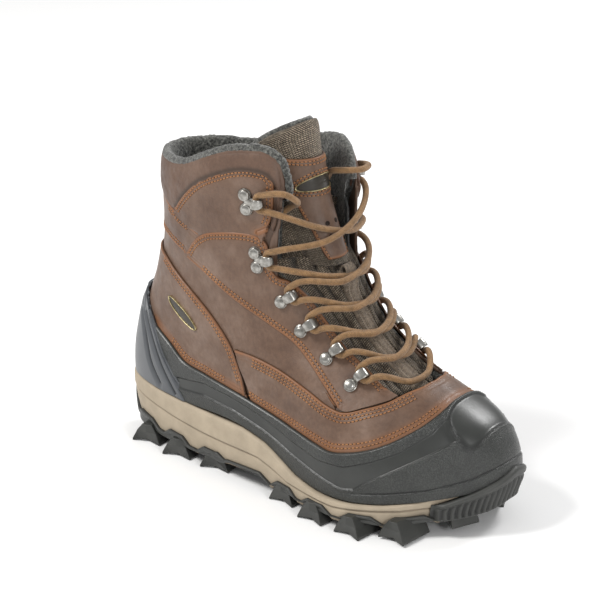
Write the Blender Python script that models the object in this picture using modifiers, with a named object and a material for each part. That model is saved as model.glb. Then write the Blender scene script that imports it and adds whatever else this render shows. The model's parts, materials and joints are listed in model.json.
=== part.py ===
"""Insulated hunting boot, right foot, about men's EU 42-43 with an 8-inch shaft.

The boot stands on its lugs, toe towards +X, outer (lateral) side towards -Y, +Z up.
Inside this script every length is in millimetres; MM turns it into metres at the end.

Every layer follows one last-shaped form. A place on the form is (s, p): s runs from the
sole, 0, to the top of the tongue, 1; p runs round the boot, 0 at the back of the heel and
1 at the front, positive on the outer side and negative on the inner side. Panels are drawn
as side-view curves of (x, z) points and are laid on the form at their own depth.
"""

import math

import bmesh
import bpy
import numpy as np
from mathutils import Matrix, Vector

MM = 0.001
CENTRE = (-2.6, 9.35)  # moves the boot so that its box is centred on the origin

# ---- driving dimensions -------------------------------------------------------------
# level of the form: back point x, z; front point x, z; roundness; outer and inner half
# widths at the back, quarter, middle, three quarters and front of the level
LEVELS = (
    (-138, 14, 142, 18, 2.5, (34, 38, 42, 58, 48), (34, 36, 36, 46, 46)),
    (-142, 38, 147, 42, 2.5, (36, 39, 43, 58, 48), (36, 37, 38, 47, 47)),
    (-142, 62, 134, 66, 2.5, (36, 39, 43, 52, 44), (36, 37, 39, 46, 44)),
    (-138, 84, 94, 88, 2.4, (35, 38, 42, 45, 38), (35, 38, 41, 44, 41)),
    (-131, 105, 66, 107, 2.5, (35, 38, 41, 38, 33), (35, 39, 42, 42, 37)),
    (-123, 128, 47, 128, 2.5, (35, 39, 41, 36, 32), (35, 41, 43, 43, 38)),
    (-118, 150, 34, 152, 2.5, (36, 40, 42, 37, 32), (36, 42, 44, 45, 40)),
    (-117, 175, 27, 180, 2.4, (37, 42, 43, 38, 32), (37, 43, 46, 49, 45)),
    (-119, 199, 25, 208, 2.3, (38, 43, 44, 40, 34), (38, 44, 48, 52, 50)),
    (-122, 224, 22, 254, 2.3, (38, 43, 45, 41, 35), (38, 44, 49, 53, 52)),
)
CENTRE_LINE = ((-150, 0), (-60, 0), (20, -3), (60, -3), (90, -1), (160, 7))  # x, y in plan

# depth of each layer below (-) or above (+) the form, innermost face and outermost face
LEATHER = (-1.8, 0.0)
COUNTER = (-3.6, -2.9)
INSULATION = (-6.6, -5.2)
LINING = (-9.9, -8.7)
TONGUE = (-17.0, -10.8)
GUSSET = (-10.0, -8.8)
OVERLAY = (-10.2, -9.0)
SHELL = (1.5, 4.5)
SEAM = 0.35  # half of the gap between two panels
TUCK = 0.02  # how far leather runs down inside the rubber, in s

GROUND_LIFT = 12.0  # toe spring at the tip
SPRING_START, SPRING_END = 85.0, 150.0
LUG = 8.0
PLATE_TOP = 12.0
LACE_DIAMETER = 4.2
HINGE_BELOW = 3.0  # the fold lies this far below the upper tongue's edge
TONGUE_FRONT = ((23, 153), (16, 171), (7, 199), (2, 224), (-1, 245))  # x, z up the middle
TONGUE_OUTER, TONGUE_INNER = (14, 28), (20, 30)  # width from its middle to each edge, bottom and top
TONGUE_DROP = (20, 38)  # how far its edges sweep back, bottom and top
TONGUE_ARC = math.radians(80)
TONGUE_MIDDLE = -2.5  # y of the tongue's middle
TONGUE_CORNER_FALL = 20.0
PAD = 8.0
GUSSET_LEVELS = (0.36, 0.655)
GUSSET_WIDTH = 0.075  # in p
THROAT_HEIGHT = 4.5  # of the lowest run of the lace above the tongue
UPPER_CROSSING = 0.27  # how far up the upper tongue the first strands cross
CROSSINGS = (0.652, 0.575, 0.495, 0.42, 0.355, 0.355)  # level of each lower crossing and of the lowest run
OVER, UNDER = 9.8, 5.2  # height of the two strands above the tongue at a crossing
AGLET_LENGTH = 16.0
# the lace's two ends dip between the collar and the tongue, x, y, z from the upper hook inwards
TUCKED_OUTER = ((4, -38, 205), (6.5, -30.5, 200), (3.5, -24, 195.5), (-3.5, -21.8, 191.5), (-10.8, -23.4, 185.5))
TUCKED_INNER = ((18, 34, 209.5), (20.5, 22, 210), (12.5, 14, 210), (3, 14.3, 208), (-4, 20, 202), (-11, 23.7, 193))

# side-view curves, from back to front, (x, z)
RUBBER_EDGE = ((-113, 89), (-96, 81), (-81, 72), (-63, 69), (-43, 66), (-24, 63), (-9, 60), (18, 55),
               (42, 50.5), (53, 49), (66, 51), (85, 57), (99, 65), (107, 71), (111, 76), (112, 79))
MIDSOLE_EDGE = ((-150, 46), (-110, 45), (-80, 43), (-50, 42), (-25, 41), (-5, 36), (10, 29),
                (25, 23), (45, 19.5), (65, 19), (90, 21), (110, 24.5), (130, 29), (155, 36))
STABILISER_EDGE = ((-128, 105), (-113, 88), (-104, 73), (-92, 59), (-79, 44))
HEEL_SEAM = ((-124, 146), (-102, 141), (-88, 134), (-66, 121), (-48, 107), (-37, 95))
VAMP_SEAM = ((-33, 93.5), (-17, 93), (7, 89), (29, 82), (48, 75), (56, 73.5), (70, 77), (81, 81), (89, 86))
ANKLE_SEAM = ((-75, 147), (-62, 142), (-43, 132), (-24, 123), (-6, 115), (13, 106), (24, 98), (39, 86), (52, 76))
ANKLE_ARC = ((-75, 152), (-70, 159), (-59, 168), (-43, 173), (-29, 175), (-17, 175), (-8, 172))
FACING_EDGE = ((-8, 152), (-3, 148), (4, 147), (15, 140), (26, 128), (48, 106), (59, 99), (75, 88), (84, 84))
CUFF_ARC = ((-86, 180), (-76, 191), (-61, 204), (-45, 212), (-31, 217), (-18, 218), (-10, 216),
            (-6, 211), (-6, 204), (-8, 186), (-10, 181), (-17, 176.5))
STRAP_TOP = ((-124, 191), (-96, 179.5), (-83, 174.5), (-73, 171.5), (-65, 168))
STRAP_BOTTOM = ((-124, 157), (-97, 154.5), (-80, 150))
COLLAR_TOP = ((-125, 206), (-76, 210), (-53, 220), (-37, 226), (-24, 228), (-13, 228), (-6, 224),
              (-2, 212), (-2, 203), (-5.3, 191), (-7, 185.5))
COLLAR_BOTTOM = ((-124, 193), (-97, 182), (-87, 181.5), (-77, 192), (-62, 205), (-45, 213.5),
                 (-31, 218.5), (-17, 219.5), (-8, 217), (-4.5, 211), (-4.5, 203), (-6.5, 187), (-8, 183))

# fittings: rivet place and the way towards the tongue, (x, z), top row first
FITTING_ROWS = (
    ((-19, 197), (8, 1)),
    ((-12.5, 159), (8, 1.5)),
    ((4, 135), (12, 9)),
    ((19, 118), (11, 8)),
    ((38.5, 103.5), (10, 9)),
    ((58.5, 90.5), (9, 8)),
)
HOOK_ROWS = 2  # the upper rows are open hooks on two rivets, the others closed loops on one
MEDIAL_FORWARD, MEDIAL_LIFT = 20.0, 9.0  # the inner side of the opening stands further forward
MEDIAL_EASE, MEDIAL_DROP = 0.45, 17.0  # and its collar is lower than the outer one

COLOURS = {
    "leather": ((0.227, 0.147, 0.105), 0.55, 0.0),
    "collar_leather": ((0.24, 0.165, 0.12), 0.6, 0.0),
    "shell_rubber": ((0.075, 0.078, 0.078), 0.6, 0.0),
    "heel_rubber": ((0.17, 0.175, 0.18), 0.5, 0.0),
    "sole_rubber": ((0.035, 0.036, 0.032), 0.75, 0.0),
    "midsole_foam": ((0.42, 0.37, 0.3), 0.7, 0.0),
    "felt": ((0.04, 0.04, 0.036), 0.95, 0.0),
    "insulation": ((0.6, 0.6, 0.62), 0.95, 0.0),
    "textile": ((0.16, 0.125, 0.095), 0.85, 0.0),
    "lace_cord": ((0.37, 0.25, 0.15), 0.8, 0.0),
    "nickel": ((0.35, 0.34, 0.31), 0.35, 1.0),
    "badge": ((0.12, 0.09, 0.06), 0.4, 0.0),
    "steel": ((0.4, 0.4, 0.42), 0.3, 1.0),
    "board": ((0.35, 0.28, 0.2), 0.85, 0.0),
}


# ---- the form -----------------------------------------------------------------------
def spline(values, t):
    """Catmull-Rom curve through evenly spaced values, t from 0 to 1."""
    values = np.asarray(values, float)
    last = len(values) - 2
    t = np.clip(np.asarray(t, float), 0, 1) * (last + 1)
    i = np.minimum(t.astype(int), last)
    u = t - i
    b, c = values[i], values[i + 1]
    a = np.where(i == 0, 2 * b - c, values[np.maximum(i - 1, 0)])
    d = np.where(i == last, 2 * c - b, values[np.minimum(i + 2, last + 1)])
    return b + 0.5 * u * (c - a + u * (2 * a - 5 * b + 4 * c - d + u * (3 * (b - c) + d - a)))


def profile(s):
    """Back x, z, front x, z and roundness of the level s."""
    return [spline([level[k] for level in LEVELS], s) for k in range(5)]


def half_width(side, s, a):
    """Half width of the level s at a, from 0 at the back to 1 at the front."""
    table = [spline([level[side][k] for level in LEVELS], s) for k in range(5)]
    table = np.stack([np.broadcast_to(column, np.shape(a)) for column in table], -1)
    i = np.minimum((a * 4).astype(int), 3)
    u = a * 4 - i

    def column(k):
        return np.take_along_axis(table, np.clip(k, 0, 4)[..., None], -1)[..., 0]

    b, c = column(i), column(i + 1)
    before = np.where(i == 0, 2 * b - c, column(i - 1))
    after = np.where(i == 3, 2 * c - b, column(i + 2))
    bend = 2 * before - 5 * b + 4 * c - after + u * (3 * (b - c) + after - before)
    return b + 0.5 * u * (c - before + u * bend)


def skin(s, p):
    """Points of the form at (s, p), in millimetres."""
    s, p = np.broadcast_arrays(np.asarray(s, float), np.asarray(p, float))
    p = (p + 1) % 2 - 1
    back_x, back_z, front_x, front_z, roundness = profile(s)
    a = (1 - np.cos(np.pi * np.abs(p))) / 2
    full = np.maximum(1 - np.abs(2 * a - 1) ** roundness, 0) ** (1 / roundness)
    x = back_x + a * (front_x - back_x)
    z = back_z + a * (front_z - back_z)
    middle = np.interp(x, *zip(*CENTRE_LINE))
    y = np.where(p > 0, middle - half_width(5, s, a) * full, middle + half_width(6, s, a) * full)
    return np.stack([x, y, z], -1)


def outward(s, p):
    """Unit normals of the form at (s, p)."""
    step = 0.002
    up = skin(np.clip(s + step, 0, 1), p) - skin(np.clip(s - step, 0, 1), p)
    along = skin(s, p + step) - skin(s, p - step)
    across = np.cross(along, up)
    return across / np.linalg.norm(across, axis=-1, keepdims=True)


def locate(x, z):
    """(s, p) of a side-view point, with p from 0 to 1."""
    low, high = 0.0, 1.0
    for _ in range(24):
        s = (low + high) / 2
        back_x, back_z, front_x, front_z, _ = profile(s)
        above = (front_x - back_x) * (z - back_z) > (front_z - back_z) * (x - back_x)
        low, high = (s, high) if above else (low, s)
    length = (front_x - back_x) ** 2 + (front_z - back_z) ** 2
    a = ((x - back_x) * (front_x - back_x) + (z - back_z) * (front_z - back_z)) / length
    return s, math.acos(1 - 2 * min(max(a, 0), 1)) / math.pi


def smooth_step(value, start, end):
    t = min(max((value - start) / (end - start), 0), 1)
    return t * t * (3 - 2 * t)


def inner_side(x, z):
    """The side-view point moved to where its twin on the inner side lies."""
    share = smooth_step(z, 122, 205) * smooth_step(x, -90, -10)
    near_top = smooth_step(z, 180, 230)
    drop = MEDIAL_DROP * near_top * smooth_step(x, -105, -45)
    return x + MEDIAL_FORWARD * share * (1 - MEDIAL_EASE * near_top), z + MEDIAL_LIFT * share - drop


def resample(points, count):
    """The same polyline with evenly spaced points."""
    points = np.asarray(points, float)
    travel = np.concatenate([[0], np.cumsum(np.linalg.norm(np.diff(points, axis=0), axis=1))])
    wanted = np.linspace(0, travel[-1], count)
    return np.stack([np.interp(wanted, travel, column) for column in points.T], 1)


def smoothed(points, count):
    """An evenly spaced smooth curve through the points."""
    points = np.asarray(points, float)
    if len(points) < 3:
        return resample(points, count)
    gaps = np.linalg.norm(np.diff(points, axis=0), axis=1)[:, None]
    slopes = np.diff(points, axis=0) / gaps
    tangents = np.empty_like(points)
    tangents[1:-1] = (slopes[:-1] * gaps[1:] + slopes[1:] * gaps[:-1]) / (gaps[1:] + gaps[:-1])
    tangents[0], tangents[-1] = slopes[0], slopes[-1]
    t = np.linspace(0, 1, 9)[:-1, None, None]
    start, end = points[:-1], points[1:]
    bent = (
        start * (1 - t) ** 2 * (1 + 2 * t)
        + end * t ** 2 * (3 - 2 * t)
        + gaps * (tangents[:-1] * t * (1 - t) ** 2 - tangents[1:] * t ** 2 * (1 - t))
    )
    return resample(np.concatenate([np.moveaxis(bent, 0, 1).reshape(-1, points.shape[1]), points[-1:]]), count)


def trace(curve, side, count):
    """(s, p) along a side-view curve, on the outer side, +1, or the inner side, -1."""
    found = []
    for x, z in smoothed(curve, count):
        if side < 0:
            x, z = inner_side(x, z)
        s, p = locate(x, z)
        found.append((s, side * p))
    return np.array(found)


# ---- solids -------------------------------------------------------------------------
def material(name):
    found = bpy.data.materials.get(name)
    if found:
        return found
    colour, roughness, metallic = COLOURS[name]
    made = bpy.data.materials.new(name)
    made.use_nodes = True
    shader = made.node_tree.nodes["Principled BSDF"]
    shader.inputs["Base Color"].default_value = (*colour, 1)
    shader.inputs["Roughness"].default_value = roughness
    shader.inputs["Metallic"].default_value = metallic
    return made


def add_mesh(name, mesh, finish, origin):
    """A new object in the boot's collection. The mesh is in millimetres about its origin."""
    mesh.transform(Matrix.Scale(MM, 4))
    mesh.materials.append(material(finish))
    mesh.shade_smooth()
    mesh.set_sharp_from_angle(angle=math.radians(40))
    piece = bpy.data.objects.new(name, mesh)
    piece.location = Vector(((origin[0] + CENTRE[0]) * MM, (origin[1] + CENTRE[1]) * MM, origin[2] * MM))
    bpy.data.collections["hunting_boot"].objects.link(piece)
    return piece


def add_faces(name, points, faces, finish):
    points = np.asarray(points, float)
    origin = (points.min(axis=0) + points.max(axis=0)) / 2
    mesh = bpy.data.meshes.new(name)
    mesh.from_pydata((points - origin).tolist(), [], faces)
    return add_mesh(name, mesh, finish, origin)


def thicken(piece, thickness):
    solid = piece.modifiers.new("thickness", "SOLIDIFY")
    solid.thickness = thickness * MM
    solid.offset = 1
    return piece


def sheet(name, places, depth, finish, edges=SEAM):
    """A panel: an open grid on the form at (s, p) places, thickened outwards."""
    places = places.copy()
    points = skin(places[..., 0], places[..., 1])
    for axis in (0, 1):
        grid, where = np.moveaxis(places, axis, 0), np.moveaxis(points, axis, 0)
        for end, beside in ((0, 1), (-1, -2)):
            gap = np.maximum(np.linalg.norm(where[end] - where[beside], axis=-1), 0.5)
            share = np.minimum(edges / gap, 0.45)[..., None]
            grid[end] = grid[end] + share * (grid[beside] - grid[end])
    s, p = places[..., 0], places[..., 1]
    low = depth[0](s) if callable(depth[0]) else depth[0]
    thickness = depth[1] if callable(depth[0]) else depth[1] - depth[0]
    points = skin(s, p) + outward(s, p) * np.asarray(low)[..., None]
    rows, columns = s.shape
    faces = [
        (i * columns + j, (i + 1) * columns + j, (i + 1) * columns + j + 1, i * columns + j + 1)
        for i in range(rows - 1)
        for j in range(columns - 1)
    ]
    return thicken(add_faces(name, points.reshape(-1, 3), faces, finish), thickness)


def ruled(lower, upper, across):
    """Places between two lines of places."""
    t = np.linspace(0, 1, across + 1)[None, :, None]
    return lower[:, None] * (1 - t) + upper[:, None] * t


def panel(name, lower, upper, side, depth, finish, cells):
    """A panel on one side of the boot, between two side-view curves."""
    along, across = cells
    grid = ruled(trace(lower, side, along + 1), trace(upper, side, along + 1), across)
    return sheet(name, grid if side > 0 else grid[::-1], depth, finish)


def both_sides(lower, upper, cells, over_toe=False, tuck=0.0):
    """Places on both sides, which meet at the back of the heel or over the toe."""
    along, across = cells
    sides = []
    for side in (1, -1):
        bottom = trace(lower, side, along + 1)
        bottom[:, 0] -= tuck
        sides.append(ruled(bottom, trace(upper, side, along + 1), across))
    outer, inner = sides
    if over_toe:
        outer[-1, :, 1] = 1
        inner[-1, :, 1] = 1
        inner[:-1, :, 1] += 2
        return np.concatenate([outer, inner[-2::-1]])
    outer[0, :, 1] = 0
    return np.concatenate([inner[:0:-1], outer])


def wrap(name, lower, upper, depth, finish, cells, over_toe=False, tuck=0.0):
    """A panel that runs round the boot."""
    return sheet(name, both_sides(lower, upper, cells, over_toe, tuck), depth, finish)


def strip(name, levels, reach, depth, finish, cells):
    """A piece of the tongue: levels from bottom to top, reach the p of its edge at each."""
    along, across = cells
    s = spline(levels, np.linspace(0, 1, across + 1))
    edge = spline(reach, np.linspace(0, 1, across + 1))
    t = np.linspace(-1, 1, along + 1)[:, None]
    p = 1 + t * (1 - edge)[None, :]
    return sheet(name, np.stack([np.broadcast_to(s, p.shape), p], -1), depth, finish)


# ---- the sole -----------------------------------------------------------------------
RING = np.linspace(-1, 1, 56, endpoint=False)


def spring(x):
    """How far the toe of the sole lifts off the ground."""
    share = np.clip((np.asarray(x) - SPRING_START) / (SPRING_END - SPRING_START), 0, None)
    return GROUND_LIFT * share ** 2


def wall(z, out, p=RING):
    """The form's outline at the heights z, moved outwards in plan; z and out may vary with p."""
    z = np.broadcast_to(np.asarray(z, float), p.shape)
    low, high = np.zeros_like(p), np.ones_like(p)
    for _ in range(24):
        s = (low + high) / 2
        above = skin(s, p)[..., 2] < z
        low, high = np.where(above, s, low), np.where(above, high, s)
    point = skin(low, p)
    along = skin(low, p + 0.01) - skin(low, p - 0.01)
    away = np.stack([along[..., 1], -along[..., 0], 0 * p], -1)
    away /= np.linalg.norm(away, axis=-1, keepdims=True)
    point[..., 2] = z
    return point + away * np.asarray(out, float)[..., None]


def block(name, rings, finish):
    """A solid through rings, from its underside to its top, which may be a floor inside a rim."""
    count = len(rings[0])
    points = np.concatenate(rings)
    faces = []
    for k in range(len(rings) - 1):
        a, b = k * count, (k + 1) * count
        faces += [(a + i, a + (i + 1) % count, b + (i + 1) % count, b + i) for i in range(count)]
    for base in (0, (len(rings) - 1) * count):
        half = count // 2
        faces.append((base, base + 1, base + count - 1))
        faces += [(base + i, base + i + 1, base + count - i - 1, base + count - i) for i in range(1, half - 1)]
        faces.append((base + half - 1, base + half, base + half + 1))
    piece = add_faces(name, points, faces, finish)
    mesh = bmesh.new()
    mesh.from_mesh(piece.data)
    bmesh.ops.recalc_face_normals(mesh, faces=mesh.faces)
    mesh.to_mesh(piece.data)
    mesh.free()
    return piece


FRONT = np.clip((np.abs(RING) - 0.72) / 0.12, 0, 1)  # 0 on the sides, 1 round the toe
PLAN_X = skin(0 * RING, RING)[:, 0]
FLARE = np.interp(PLAN_X, (-140, -120, -60, 0, 60, 98, 116), (9, 5, 4, 6, 8, 8, 3))
MIDSOLE_OUT = np.interp(PLAN_X, (-140, -100, 0, 70, 100, 116), (6.5, 5.5, 6, 7, 6, 1.5))
RIM = np.interp(PLAN_X, *zip(*MIDSOLE_EDGE))
FLOOR = np.interp(PLAN_X, (-60, 30), (24, 13)) + 0.6 * spring(PLAN_X)


def lug_wave():
    """Height of the outsole's wrapped edge: a peak over each lug, a tab up the heel back."""
    edge = np.interp(PLAN_X, (-140, -40, 30, 110), (17, 15, 11.5, 13)) + spring(PLAN_X)
    tab = np.clip(1 - np.abs(RING) / 0.09, 0, 1)
    return np.minimum(edge + 26 * tab, RIM - 5)


def add_sole():
    edge = lug_wave()
    plate = PLATE_TOP - 2 + spring(PLAN_X)
    outsole = block(
        "outsole",
        [
            wall(LUG + spring(PLAN_X), FLARE + 1),
            wall(edge, MIDSOLE_OUT + 2.2),
            wall(edge, MIDSOLE_OUT + 0.3),
            wall(plate, MIDSOLE_OUT + 0.3),
        ],
        "sole_rubber",
    )
    join(outsole, lugs())
    block(
        "midsole",
        [
            wall(plate + 1.3, MIDSOLE_OUT - 0.3),
            wall(RIM, MIDSOLE_OUT - 0.3),
            wall(RIM, -3.4),
            wall(np.minimum(FLOOR, RIM - 1), -3.4),
        ],
        "midsole_foam",
    )
    block("insole_board", [wall(FLOOR + 0.5, -4.6), wall(FLOOR + 2.5, -4.6)], "board")
    thick = np.interp(PLAN_X, (-140, -60, 40), (9, 7, 4.5))
    block("footbed", [wall(FLOOR + 3.2, -11.0), wall(FLOOR + 3.2 + thick, -11.4)], "insulation")


def lug_places():
    """x, y, turn, length and width of each lug."""
    for x, outer, inner in ((-122, 31, 31), (-90, 37, 35), (-56, 38, 34)):
        yield x, -outer + 11, 0.12, 20, 24
        yield x, inner - 11, -0.12, 20, 24
    for x, outer, inner in ((14, 53, 33), (45, 64, 42), (76, 67, 48), (104, 58, 47)):
        yield x, -outer + 12, -0.1, 17, 26
        yield x, inner - 11, 0.1, 17, 24
        if x < 100:
            yield x + 14, -8, 0.0, 15, 26
    yield 126, -17, -0.4, 13, 20
    yield 128, 23, 0.4, 13, 20


def lugs():
    """Tapered lugs under the sole, as one mesh of separate solids."""
    mesh = bmesh.new()
    for x, y, turn, length, width in lug_places():
        lift = float(spring(x))
        made = bmesh.ops.create_cone(mesh, cap_ends=True, segments=4, radius1=0.6, radius2=0.7071, depth=LUG + 1)
        place = (
            Matrix.Translation((x + CENTRE[0], y + CENTRE[1], lift + (LUG + 1) / 2))
            @ Matrix.Rotation(turn, 4, "Z")
            @ Matrix.Diagonal((length, width, 1, 1))
            @ Matrix.Rotation(math.pi / 4, 4, "Z")
        )
        bmesh.ops.transform(mesh, matrix=Matrix.Scale(MM, 4) @ place, verts=made["verts"])
    data = bpy.data.meshes.new("lug_blocks")
    mesh.to_mesh(data)
    mesh.free()
    piece = bpy.data.objects.new("lug_blocks", data)
    bpy.data.collections["cutters"].objects.link(piece)
    piece.hide_render = True
    piece.display_type = "WIRE"
    return piece


def join(piece, other):
    union = piece.modifiers.new("joined", "BOOLEAN")
    union.operation = "UNION"
    union.object = other


def band(name, p_range, low, high, depth, finish, cells):
    """A strip of rubber round the toe, between two heights given over p."""
    along, across = cells
    p = np.linspace(p_range[0], 2 - p_range[0], along + 1)
    wrapped = (p + 1) % 2 - 1
    share = 1 - np.abs(1 - p) / (1 - p_range[0])
    columns = []
    for t in np.linspace(0, 1, across + 1):
        z = (1 - t) * np.interp(share, (0, 1), low) + t * np.interp(share, (0, 1), high)
        columns.append(wall(z, depth[0], wrapped))
    points = np.stack(columns, 1)
    faces = [
        (i * (across + 1) + j, (i + 1) * (across + 1) + j, (i + 1) * (across + 1) + j + 1, i * (across + 1) + j + 1)
        for i in range(along)
        for j in range(across)
    ]
    return thicken(add_faces(name, points.reshape(-1, 3), faces, finish), depth[1] - depth[0])


# ---- upper --------------------------------------------------------------------------
def shifted(curve, lift):
    return tuple((x, z + lift) for x, z in curve)


def add_lower_shell():
    edge = RUBBER_EDGE
    sole_line = [(x, z + 1.4) for x, z in MIDSOLE_EDGE if x > -75]
    wrap("rubber_shell", [(-79, 44.5)] + sole_line, edge, SHELL, "shell_rubber", (26, 4), over_toe=True)
    wrap("heel_stabiliser", ((-150, 47.5), (-110, 46.5), (-81, 45)), ((-130, 108), (-123, 101), (-115, 90)), SHELL,
         "heel_rubber", (9, 4))
    band("toe_bumper", (0.83,), (15, 19), (27, 41), (5.2, 9.0), "sole_rubber", (16, 2))


def add_upper():
    wrap("heel_panel", ((-140, 107), (-127, 102), (-113, 89)) + RUBBER_EDGE[1:5] + ((-25, 64),),
         shifted(HEEL_SEAM, -0.8) + ((-31, 84), (-27.5, 73)), LEATHER, "leather", (14, 5), tuck=TUCK)
    wrap("vamp", ((-21, 62.5),) + RUBBER_EDGE[6:], VAMP_SEAM + ((93, 87.5), (94, 88)), LEATHER, "leather", (20, 4),
         over_toe=True, tuck=TUCK)
    for side, word in ((1, "lateral"), (-1, "medial")):
        panel(word + "_quarter", HEEL_SEAM + VAMP_SEAM[:5], STRAP_BOTTOM[:2] + shifted(ANKLE_SEAM, -0.8),
              side, LEATHER, "leather", (20, 3))
        panel(word + "_facing", ANKLE_SEAM + shifted(VAMP_SEAM[5:8], 0.7), ANKLE_ARC + FACING_EDGE, side, LEATHER,
              "leather", (24, 4))
        panel(word + "_cuff", ((-86, 178), (-70, 171.5), (-59, 169), (-43, 174), (-29, 176), (-17, 175.5)),
              CUFF_ARC, side, LEATHER, "leather", (14, 4))
        panel("heel_badge_" + word, ((-96, 112), (-84, 102), (-68.5, 97)), ((-95, 114.5), (-80, 109.5), (-67.5, 99.5)),
              side, (0.8, 2.0), "badge", (6, 2))
    wrap("achilles_strap", STRAP_BOTTOM, STRAP_TOP, LEATHER, "leather", (9, 4))
    wrap("collar", COLLAR_BOTTOM, COLLAR_TOP, (-3.0, 0.8), "collar_leather", (18, 2))
    wrap("heel_counter", ((-150, 50), (-110, 46), (-70, 44)), ((-150, 92), (-110, 84), (-74, 58)), COUNTER, "board", (9, 3))


# the lining and the insulation start at the toe, follow the opening up and end at the heel back
OPENING = ((-125, 205), (-76, 209), (-53, 219), (-37, 225), (-24, 227), (-13, 227), (-6, 223), (-2, 212),
           (-1, 203), (-4, 186), (-9, 172), (-6, 152), (3, 147), (15, 139), (26, 127), (48, 105), (59, 98),
           (75, 87), (84, 83.5), (88, 84), (92, 86))


def add_inner():
    lowest = ((-150, 29), (-60, 29), (-10, 24), (40, 18.5), (100, 18.5), (150, 26))
    places = both_sides(lowest, OPENING, (24, 9))
    sheet("lining", places, LINING, "felt")
    sheet("insulation", places[:, :-1], INSULATION, "insulation")


def opening_edge(s, side):
    """p of the front opening's edge at the levels s."""
    found = trace(OPENING[5:-3], side, 60)
    order = np.argsort(found[:, 0])
    return np.interp(s, found[order, 0], np.abs(found[order, 1]))


def tongue_skin(up, across):
    """Points on the front of the upper tongue: up 0 to 1, across -1 inner to +1 outer."""
    up, across = np.broadcast_arrays(np.asarray(up, float), np.asarray(across, float))
    x, z = (spline(column, up) for column in zip(*TONGUE_FRONT))
    low, high = (np.where(across > 0, *pair) for pair in zip(TONGUE_OUTER, TONGUE_INNER))
    half = low + (high - low) * up ** 2
    drop = TONGUE_DROP[0] + (TONGUE_DROP[1] - TONGUE_DROP[0]) * up
    turn = TONGUE_ARC * across
    back = drop * (1 - np.cos(turn)) / (1 - math.cos(TONGUE_ARC))
    y = TONGUE_MIDDLE - half * np.sin(turn) / math.sin(TONGUE_ARC)
    return np.stack([x - back, y, z - TONGUE_CORNER_FALL * up * across ** 2], -1)


def tongue_outward(up, across):
    step = 0.01
    rise = tongue_skin(np.clip(up + step, 0, 1), across) - tongue_skin(np.clip(up - step, 0, 1), across)
    over = tongue_skin(up, across + step) - tongue_skin(up, across - step)
    away = np.cross(rise, over)
    return away / np.linalg.norm(away, axis=-1, keepdims=True)


def tongue_sheet(name, levels, reach, depth, finish, cells):
    """A layer of the upper tongue: levels up it, reach across it at the bottom, middle and top."""
    along, across = cells
    up = np.linspace(*levels, across + 1)[None, :]
    wide = spline(reach, np.linspace(0, 1, across + 1))[None, :] * np.linspace(1, -1, along + 1)[:, None]
    up = np.broadcast_to(up, wide.shape)
    points = tongue_skin(up, wide) + tongue_outward(up, wide) * depth[0]
    faces = [
        (i * (across + 1) + j, (i + 1) * (across + 1) + j, (i + 1) * (across + 1) + j + 1, i * (across + 1) + j + 1)
        for i in range(along)
        for j in range(across)
    ]
    return thicken(add_faces(name, points.reshape(-1, 3), faces, finish), depth[1] - depth[0])


def add_tongue():
    strip("tongue_lower", (0.32, 0.43, 0.54, 0.655), (0.80, 0.79, 0.78, 0.76), TONGUE, "textile", (8, 8))
    strip("tongue_webbing", (0.37, 0.47, 0.56, 0.655), (0.94, 0.94, 0.94, 0.94), OVERLAY, "textile", (4, 8))
    upper = [
        tongue_sheet("tongue_upper", (0, 1), (0.95, 1.0, 0.97), (-PAD, 0), "textile", (12, 8)),
        tongue_sheet("tongue_overlay", (0.03, 0.8), (0.42, 0.5, 0.62), (0.5, 1.7), "leather", (8, 8)),
        tongue_sheet("tongue_badge", (0.5, 0.6), (0.34, 0.36, 0.34), (2.1, 3.2), "badge", (6, 2)),
    ]
    for side, word in ((1, "lateral"), (-1, "medial")):
        s = np.linspace(*GUSSET_LEVELS, 9)
        outer = opening_edge(s, side) + 0.045
        t = np.linspace(0, 1, 4)[:, None]
        p = side * (outer * (1 - t) + (outer + GUSSET_WIDTH) * t)
        grid = np.stack([np.broadcast_to(s, p.shape), p], -1)
        sheet(word + "_gusset", grid if side > 0 else grid[::-1], GUSSET, "textile")
    hinge = tongue_skin(0.0, 0.0) - tongue_outward(np.float64(0), np.float64(0)) * PAD / 2
    pivot = bpy.data.objects.new("tongue_hinge", None)
    pivot.location = ((hinge[0] + CENTRE[0]) * MM, (hinge[1] + CENTRE[1]) * MM, (hinge[2] - HINGE_BELOW) * MM)
    bpy.data.collections["hunting_boot"].objects.link(pivot)
    bpy.context.view_layer.update()
    for piece in upper:
        piece.parent = pivot
        piece.matrix_parent_inverse = pivot.matrix_world.inverted()


# ---- hooks, loops, rivets and lace --------------------------------------------------
PLATE = (0.6, 1.7)  # height of the base plate above the leather, underside and top
HEAD = (6.7, 7.9)
NECK = (7.2, 8.4)  # place of the neck along the fitting
FITTING_WIDTH = 5.0
RIVET_PLACE = -5.0
RIVET_SPREAD = 4.7  # half the distance between the two rivets of a hook


def fitting_frame(row, side):
    """Where a fitting sits: x towards the tongue, y up along the facing, z away from the leather."""
    (x, z), (dx, dz) = FITTING_ROWS[row]
    ahead = (x + dx, z + dz)
    if side < 0:
        x, z = inner_side(x, z)
        ahead = inner_side(*ahead)
    s, p = locate(x, z)
    centre = skin(s, side * p)
    away = outward(np.float64(s), np.float64(side * p))
    s, p = locate(*ahead)
    forward = skin(s, side * p) - centre
    forward -= away * forward.dot(away)
    forward /= np.linalg.norm(forward)
    up = np.cross(away, forward)
    if up[2] < 0:
        up = -up
    return centre, forward, up, away


def in_frame(frame, u, v, n):
    centre, forward, up, away = frame
    return centre + forward * u + up * v + away * n


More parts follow.
